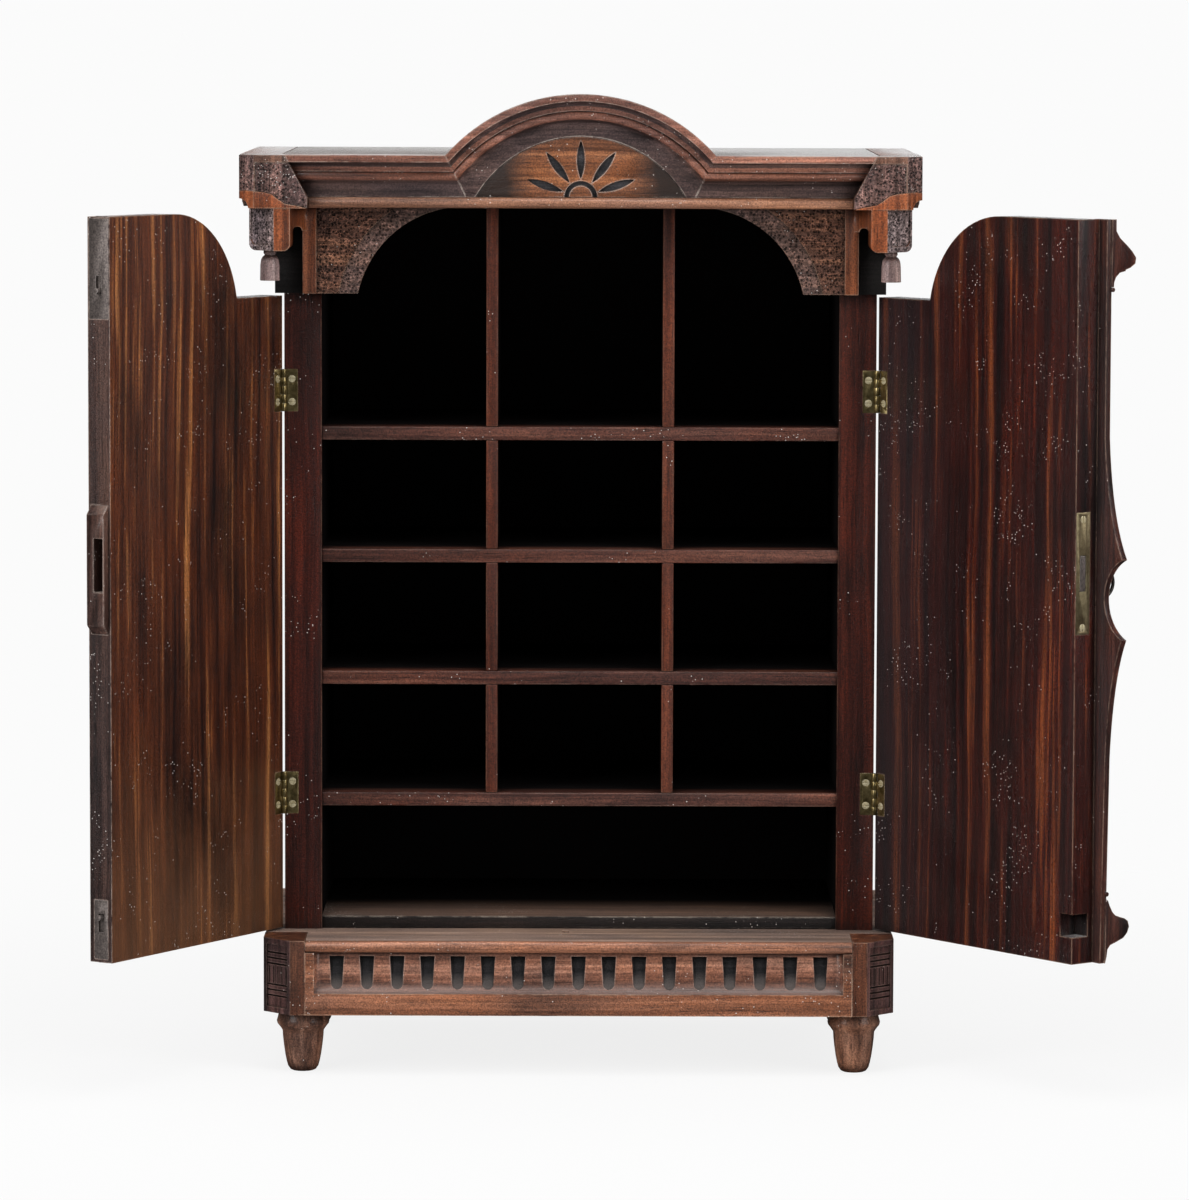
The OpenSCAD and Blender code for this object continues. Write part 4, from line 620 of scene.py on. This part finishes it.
eased("plinth_ledge", "case", LEDGE_WALNUT, width=0.0006, parts=[(NOSING_WALNUT, nosing)])
eased("plinth_front", "case", FASCIA_WALNUT, width=0.0004,
      parts=[(FIELD_WALNUT, field), (FLUTE_SHADE_AND_LIGHT, flutes)])
for hand in ("left", "right"):
    eased(f"plinth_corner_{hand}", "case", BLOCK_WALNUT, width=0.0006,
          parts=[(PANEL_WALNUT, canted)])
    eased(f"plinth_{hand}", "case", RAIL_WALNUT, width=0.0008)
eased("plinth_back", "case", RAIL_WALNUT, width=0.0008)

# -------------------------------------------------------------------- the feet
# Turned from one billet each: a wide collar under the plinth, then a cup that
# narrows to the toe. The grain stands upright, and sharp edges are rubbed pale.

FOOT_WALNUT = walnut("foot_walnut", "z", (0.0758, 0.029, 0.0151), (0.227, 0.100, 0.0603),
                     (0.404, 0.202, 0.128),
                     rub=(0.40, 0.27, 0.20), gloss=0.36, coat=0.35, specks_and_glints=0.02)
for place in ("front_left", "front_right", "rear_left", "rear_right"):
    eased(f"foot_{place}", "case", FOOT_WALNUT, width=0.0004, angle=40.0)

# ----------------------------------------------- cornice, pediment and bead bar
# Moulded walnut runs, mitred round the arch, between two corner blocks whose
# grounds are stippled with a punch. Faces that lie level have a dusty sheen.

CROWN_WALNUT = walnut("crown_walnut", "x", (0.0819, 0.0297, 0.0194), (0.229, 0.0945, 0.0667),
                      (0.426, 0.195, 0.147),
                      rub=(0.50, 0.38, 0.31), rub_share=1.0, gloss=0.34, coat=0.4, specks_and_glints=0.06, bloom=1.0)
# The hollows of the crown mouldings are a darker copy of the crown finish: painted shade.
HOLLOW_SHADE_WALNUT = walnut("hollow_shade_walnut", "x", (0.0276, 0.0168, 0.0168), (0.0828, 0.0504, 0.0483),
                       (0.172, 0.105, 0.0966),
                       rub=(0.62, 0.52, 0.45), rub_share=1.0, gloss=0.34, coat=0.4, specks_and_glints=0.03, grime_and_shade=0.9)
PUNCH_PITCH = 600.0
PUNCH_RELIEF = 0.00040
STIPPLE_WALNUT = walnut("stipple_walnut", "z", (0.0413, 0.0216, 0.0189), (0.107, 0.059, 0.0532),
                        (0.181, 0.104, 0.091),
                        rub=(0.50, 0.40, 0.35), rub_share=1.0, gloss=0.42, coat=0.2,
                        punched=PUNCH_PITCH, relief=PUNCH_RELIEF, specks_and_glints=0.12)
CORNER_WALNUT = walnut("corner_walnut", "z", (0.052, 0.0228, 0.0145), (0.156, 0.073, 0.0497),
                       (0.273, 0.137, 0.0927),
                       rub=(0.48, 0.36, 0.29), rub_share=1.0, gloss=0.36, coat=0.35, specks_and_glints=0.10, bloom=1.0)
# Its closed-in places are darkened to near black: painted shade, with some dirt.
TYMPANUM_WALNUT = walnut("tympanum_walnut", "x", (0.0633, 0.0184, 0.0063), (0.212, 0.0736, 0.0283),
                         (0.401, 0.166, 0.0746),
                         rub=(0.60, 0.52, 0.46), rub_share=1.0, gloss=0.34, coat=0.35, grime_and_shade=0.97,
                         specks_and_glints=0.03, soot_and_shade=(0.03, 0.025, 0.03),
                         washes=[("|x|", 0.028, 0.046, (0.022, 0.013, 0.010), 0.97)])
# The carved rays are painted near black as shade.
RAY_SHADE_BLACK = walnut("ray_shade_black", "x", (0.012, 0.012, 0.016), (0.034, 0.033, 0.040), (0.085, 0.082, 0.095),
                   rub=(0.22, 0.20, 0.19), gloss=0.45, coat=0.1)
CORNICE_FRONT = -0.139
CORNICE_SIDE = 0.199
UPPER_HOLLOW = (0.0008, 0.0058)
LOWER_HOLLOW = (0.0086, 0.0139)
GROUND_SINK = 0.0008
GROUND_SLACK = 0.0002
RAY_START = -0.1240


def front_hollows(middle, normal):
    """Faces of the crown moulding's two hollows, by their depth behind the cornice's front."""
    deep = middle[:, 1] - CORNICE_FRONT
    return (np.abs(normal[:, 1]) > 0.02) & (between(deep, UPPER_HOLLOW) | between(deep, LOWER_HOLLOW))


def side_hollows(middle, normal):
    """The same hollows on the side runs, by their depth behind the cornice's side."""
    deep = CORNICE_SIDE - np.abs(middle[:, 0])
    return (np.abs(normal[:, 0]) > 0.02) & (between(deep, UPPER_HOLLOW) | between(deep, LOWER_HOLLOW))


def punched_fields(middle, normal):
    """The sunk grounds of a corner block and its cant, over the scrolled line."""
    behind = np.abs(middle[:, 1] - CORNICE_FRONT - GROUND_SINK)
    inward = np.abs(CORNICE_SIDE - np.abs(middle[:, 0]) - GROUND_SINK)
    front = (normal[:, 1] < -0.95) & (behind < GROUND_SLACK)
    side = (np.abs(normal[:, 0]) > 0.95) & (inward < GROUND_SLACK)
    return front | side | canted(middle, normal)


for hand in ("left", "right"):
    eased(f"cornice_front_{hand}", "case", CROWN_WALNUT, width=0.0003,
          parts=[(HOLLOW_SHADE_WALNUT, front_hollows)])
    eased(f"cornice_side_{hand}", "case", CROWN_WALNUT, width=0.0003,
          parts=[(HOLLOW_SHADE_WALNUT, side_hollows)])
    eased(f"cornice_corner_{hand}", "case", CORNER_WALNUT, width=0.0004,
          parts=[(STIPPLE_WALNUT, punched_fields)])
eased("pediment_arch", "case", CROWN_WALNUT, width=0.0003,
      parts=[(HOLLOW_SHADE_WALNUT, front_hollows)])
# The floors of the carved rays take the near-black finish as painted shade.
eased("tympanum", "case", TYMPANUM_WALNUT, width=0.0003,
      parts=[(RAY_SHADE_BLACK, lambda middle, normal: (normal[:, 1] < -0.9) & (middle[:, 1] > RAY_START))])
BEAD_WALNUT = walnut("bead_walnut", "x", (0.107, 0.0428, 0.023), (0.334, 0.160, 0.101), (0.637, 0.366, 0.245),
                     rub=(0.62, 0.50, 0.41), rub_share=1.0, gloss=0.32, coat=0.45, specks_and_glints=0.06)
eased("bead_bar", "case", BEAD_WALNUT, width=0.0006)

# ----------------------------------------------- spandrels, corbels and tassels
# The arch over the doors is a carved board with a punched ground and a plain
# band, hung at its ends with canted corbels and small turned tassels.

SPANDREL_WALNUT = walnut("spandrel_walnut", "x", (0.0265, 0.0128, 0.01), (0.0929, 0.043, 0.0301),
                         (0.238, 0.111, 0.0669),
                         rub=(0.34, 0.22, 0.15), gloss=0.42, coat=0.2, punched=PUNCH_PITCH,
                         relief=PUNCH_RELIEF, specks_and_glints=0.05)
BAND_WALNUT = walnut("band_walnut", "x", (0.0276, 0.016, 0.0152), (0.0874, 0.05, 0.0418),
                     (0.196, 0.110, 0.0874),
                     rub=(0.30, 0.20, 0.14), gloss=0.4, coat=0.25, punched=PUNCH_PITCH,
                     relief=0.00022, specks_and_glints=0.03)
CORBEL_WALNUT = walnut("corbel_walnut", "z", (0.081, 0.019, 0.0057), (0.235, 0.0614, 0.0201),
                       (0.437, 0.132, 0.047),
                       rub=(0.44, 0.28, 0.19), gloss=0.32, coat=0.45, specks_and_glints=0.02, grime_and_shade=0.9)
CORBEL_GROUND = walnut("corbel_ground", "z", (0.0546, 0.0392, 0.042), (0.166, 0.125, 0.130),
                       (0.312, 0.244, 0.252),
                       rub=(0.36, 0.28, 0.25), gloss=0.42, coat=0.2, punched=PUNCH_PITCH,
                       relief=PUNCH_RELIEF, specks_and_glints=0.05)
TASSEL_WALNUT = walnut("tassel_walnut", "z", (0.108, 0.065, 0.06), (0.305, 0.203, 0.192),
                       (0.645, 0.470, 0.451),
                       rub=(0.50, 0.42, 0.38), gloss=0.36, coat=0.3)


BAND_FACE = -0.0970
SPANDREL_BACK = -0.0940
FACE_SLACK = 0.0004


def arch_band(middle, normal):
    """The plain band round a spandrel's arch."""
    return np.abs(middle[:, 1] - BAND_FACE) < FACE_SLACK


def spandrel_shade(middle, normal):
    """The back and the underside of a spandrel, which take the near-black finish: dark wood with painted
    shade.
    """
    return (np.abs(middle[:, 1] - SPANDREL_BACK) < FACE_SLACK) | (normal[:, 2] < -0.9)


def corbel_panel(middle, normal):
    """The floor of the panel that is sunk in a corbel's cant."""
    slanted = canted(middle, normal)
    out = np.sum(middle * normal, axis=1)
    return slanted & (out < out[slanted].max() - 0.0005)


for hand in ("left", "right"):
    eased(f"spandrel_{hand}", "case", SPANDREL_WALNUT, width=0.0004,
          parts=[(BAND_WALNUT, arch_band), (BLACK_STAIN_AND_SHADE, spandrel_shade)])
    eased(f"corbel_{hand}", "case", CORBEL_WALNUT, width=0.0006,
          parts=[(CORBEL_GROUND, corbel_panel)])
eased("tassels", "case", TASSEL_WALNUT, width=0.0003, angle=40.0)

# ------------------------------------------------------------------- the doors
# Each door is one wide board with its grain upright. The varnish has gone
# glossy and streaky, and years of rubbing left pale corners.

LEFT_DOOR_WALNUT = walnut("left_door_walnut", "z", (0.0147, 0.004, 0.003), (0.0945, 0.024, 0.0085),
                          (0.441, 0.180, 0.06),
                          rub=(0.34, 0.20, 0.13), gloss=0.26, coat=0.35, relief=0.00014, specks_and_glints=0.030,
                          bloom=0.9, stops=(0.10, 0.60, 1.0),
                          washes=[("z", 0.20, 0.09, (0.16, 0.072, 0.032), 0.5)])
DOOR_EDGE_WALNUT = walnut("door_edge_walnut", "z", (0.012, 0.0055, 0.0050), (0.042, 0.020, 0.017),
                          (0.095, 0.050, 0.040),
                          rub=(0.42, 0.32, 0.27), rub_share=1.0, gloss=0.34, coat=0.3, relief=0.00014,
                          specks_and_glints=0.05)
# The grey wash over the part of this door where |x| is under 0.188 m is a painted reflection, a haze on the
# varnish.
RIGHT_DOOR_WALNUT = walnut("right_door_walnut", "z", (0.007, 0.0016, 0.0020), (0.042, 0.0055, 0.0030),
                           (0.22, 0.055, 0.016),
                           rub=(0.34, 0.22, 0.15), gloss=0.24, coat=0.35, relief=0.00016, specks_and_glints=0.045,
                           bloom=0.9, stops=(0.15, 0.62, 1.0),
                           washes=[("|x|", 0.222, 0.188, (0.030, 0.024, 0.026), 0.5)])
LEFT_EDGE_OUT = (-0.533, -0.846, 0.0)
eased("left_door", "left_door", LEFT_DOOR_WALNUT, width=0.0008,
      parts=[(DOOR_EDGE_WALNUT, lambda middle, normal: normal @ LEFT_EDGE_OUT > 0.9)])
eased("right_door", "right_door", RIGHT_DOOR_WALNUT, width=0.0008)
STRIP_WALNUT = walnut("strip_walnut", "z", (0.012, 0.0035, 0.0030), (0.042, 0.011, 0.0080),
                      (0.12, 0.036, 0.022),
                      rub=(0.34, 0.22, 0.16), gloss=0.32, coat=0.2, specks_and_glints=0.03, bloom=0.9)
eased("cover_strip", "right_door", STRIP_WALNUT, width=0.0005)
STRIKE_WALNUT = walnut("strike_walnut", "z", (0.0224, 0.0108, 0.0092), (0.07, 0.0348, 0.0287),
                       (0.154, 0.084, 0.069),
                       rub=(0.42, 0.33, 0.28), rub_share=1.0, gloss=0.34, coat=0.35, specks_and_glints=0.06, dust=0.7)
eased("strike_block", "left_door", STRIKE_WALNUT, width=0.0005)

# -------------------------------------------------------- hinges, lock and bolts
# Small cast brass butt hinges gone olive brown, with brighter screws, and an
# iron lock, bolts and key that handling has darkened and polished on the edges.


def old_metal(name, dark, bright, edge, rough, metal=1.0, pits=260.0):
    """Tarnished metal: cloudy patina, fine scratches along X and Z, and brighter rubbed edges."""
    made = bpy.data.materials.new(name)
    made.use_nodes = True
    tree = made.node_tree
    tree.nodes.clear()
    out = node(tree, "ShaderNodeOutputMaterial")
    skin = node(tree, "ShaderNodeBsdfPrincipled")
    tree.links.new(skin.outputs[0], out.inputs["Surface"])
    here = node(tree, "ShaderNodeTexCoord").outputs["Object"]
    wear = node(tree, "ShaderNodeGroup", node_tree=EDGE_RUB_AND_RECESS_SHADE)
    wear.inputs["Reach"].default_value = 0.0005
    tree.links.new(here, wear.inputs["Place"])
    cloud = node(tree, "ShaderNodeTexNoise",
                 {"Vector": here, "Scale": pits, "Detail": 6.0, "Roughness": 0.65})
    scratch_place = node(tree, "ShaderNodeMapping", {"Vector": here, "Scale": (2600.0, 2600.0, 160.0)})
    scratch = node(tree, "ShaderNodeTexNoise",
                   {"Vector": scratch_place.outputs[0], "Scale": 1.0, "Detail": 2.0})
    patina = ramp(tree, cloud.outputs["Fac"], [(0.32, dark), (0.68, bright)])
    worn = blend_colour(tree, "MIX", maths(tree, "MULTIPLY", wear.outputs["Rub"], 0.8), patina, edge)
    tree.links.new(worn, skin.inputs["Base Color"])
    skin.inputs["Metallic"].default_value = metal
    dull = node(tree, "ShaderNodeMapRange",
                {"Value": cloud.outputs["Fac"], "To Min": rough + 0.18, "To Max": rough - 0.1})
    tree.links.new(dull.outputs[0], skin.inputs["Roughness"])
    height = maths(tree, "ADD", scratch.outputs["Fac"], cloud.outputs["Fac"])
    bump = node(tree, "ShaderNodeBump", {"Height": height, "Strength": 0.8, "Distance": 0.00008})
    tree.links.new(bump.outputs["Normal"], skin.inputs["Normal"])
    return made


HINGE_BRASS = old_metal("hinge_brass", (0.13, 0.095, 0.035), (0.55, 0.43, 0.20), (0.95, 0.86, 0.60), 0.34)
PLATE_BRASS = old_metal("plate_brass", (0.26, 0.205, 0.115), (0.56, 0.46, 0.275), (0.95, 0.88, 0.66), 0.40)
SCREW_BRASS = old_metal("screw_brass", (0.45, 0.37, 0.20), (0.85, 0.76, 0.50), (0.97, 0.93, 0.78), 0.42,
                        metal=0.6)
LOCK_IRON = old_metal("lock_iron", (0.045, 0.035, 0.033), (0.20, 0.165, 0.15), (0.75, 0.68, 0.64), 0.45,
                      metal=0.5, pits=900.0)
KEY_IRON = old_metal("key_iron", (0.030, 0.027, 0.024), (0.085, 0.078, 0.070), (0.36, 0.34, 0.31), 0.40)
METAL_WORK = (
    ("case_hinge_leaves", "case", "hinge_brass", HINGE_BRASS),
    ("hinge_pins", "case", "hinge_brass", HINGE_BRASS),
    ("case_screws", "case", "screw_brass", SCREW_BRASS),
    ("left_door_leaves", "left_door", "hinge_brass", HINGE_BRASS),
    ("left_door_screws", "left_door", "screw_brass", SCREW_BRASS),
    ("edge_bolt_plates", "left_door", "lock_iron", LOCK_IRON),
    ("top_bolt", "top_bolt", "lock_iron", LOCK_IRON),
    ("bottom_bolt", "bottom_bolt", "lock_iron", LOCK_IRON),
    ("right_door_leaves", "right_door", "hinge_brass", HINGE_BRASS),
    ("right_door_screws", "right_door", "screw_brass", SCREW_BRASS),
    ("lock_plate", "right_door", "plate_brass", PLATE_BRASS),
    ("lock_case", "right_door", "lock_iron", LOCK_IRON),
    ("lock_bolt", "lock_bolt", "lock_iron", LOCK_IRON),
    ("key", "key", "key_iron", KEY_IRON),
)
for metal_node, metal_body, metal_slot, metal_finish in METAL_WORK:
    eased(metal_node, metal_body, metal_finish, width=0.00015, angle=40.0)
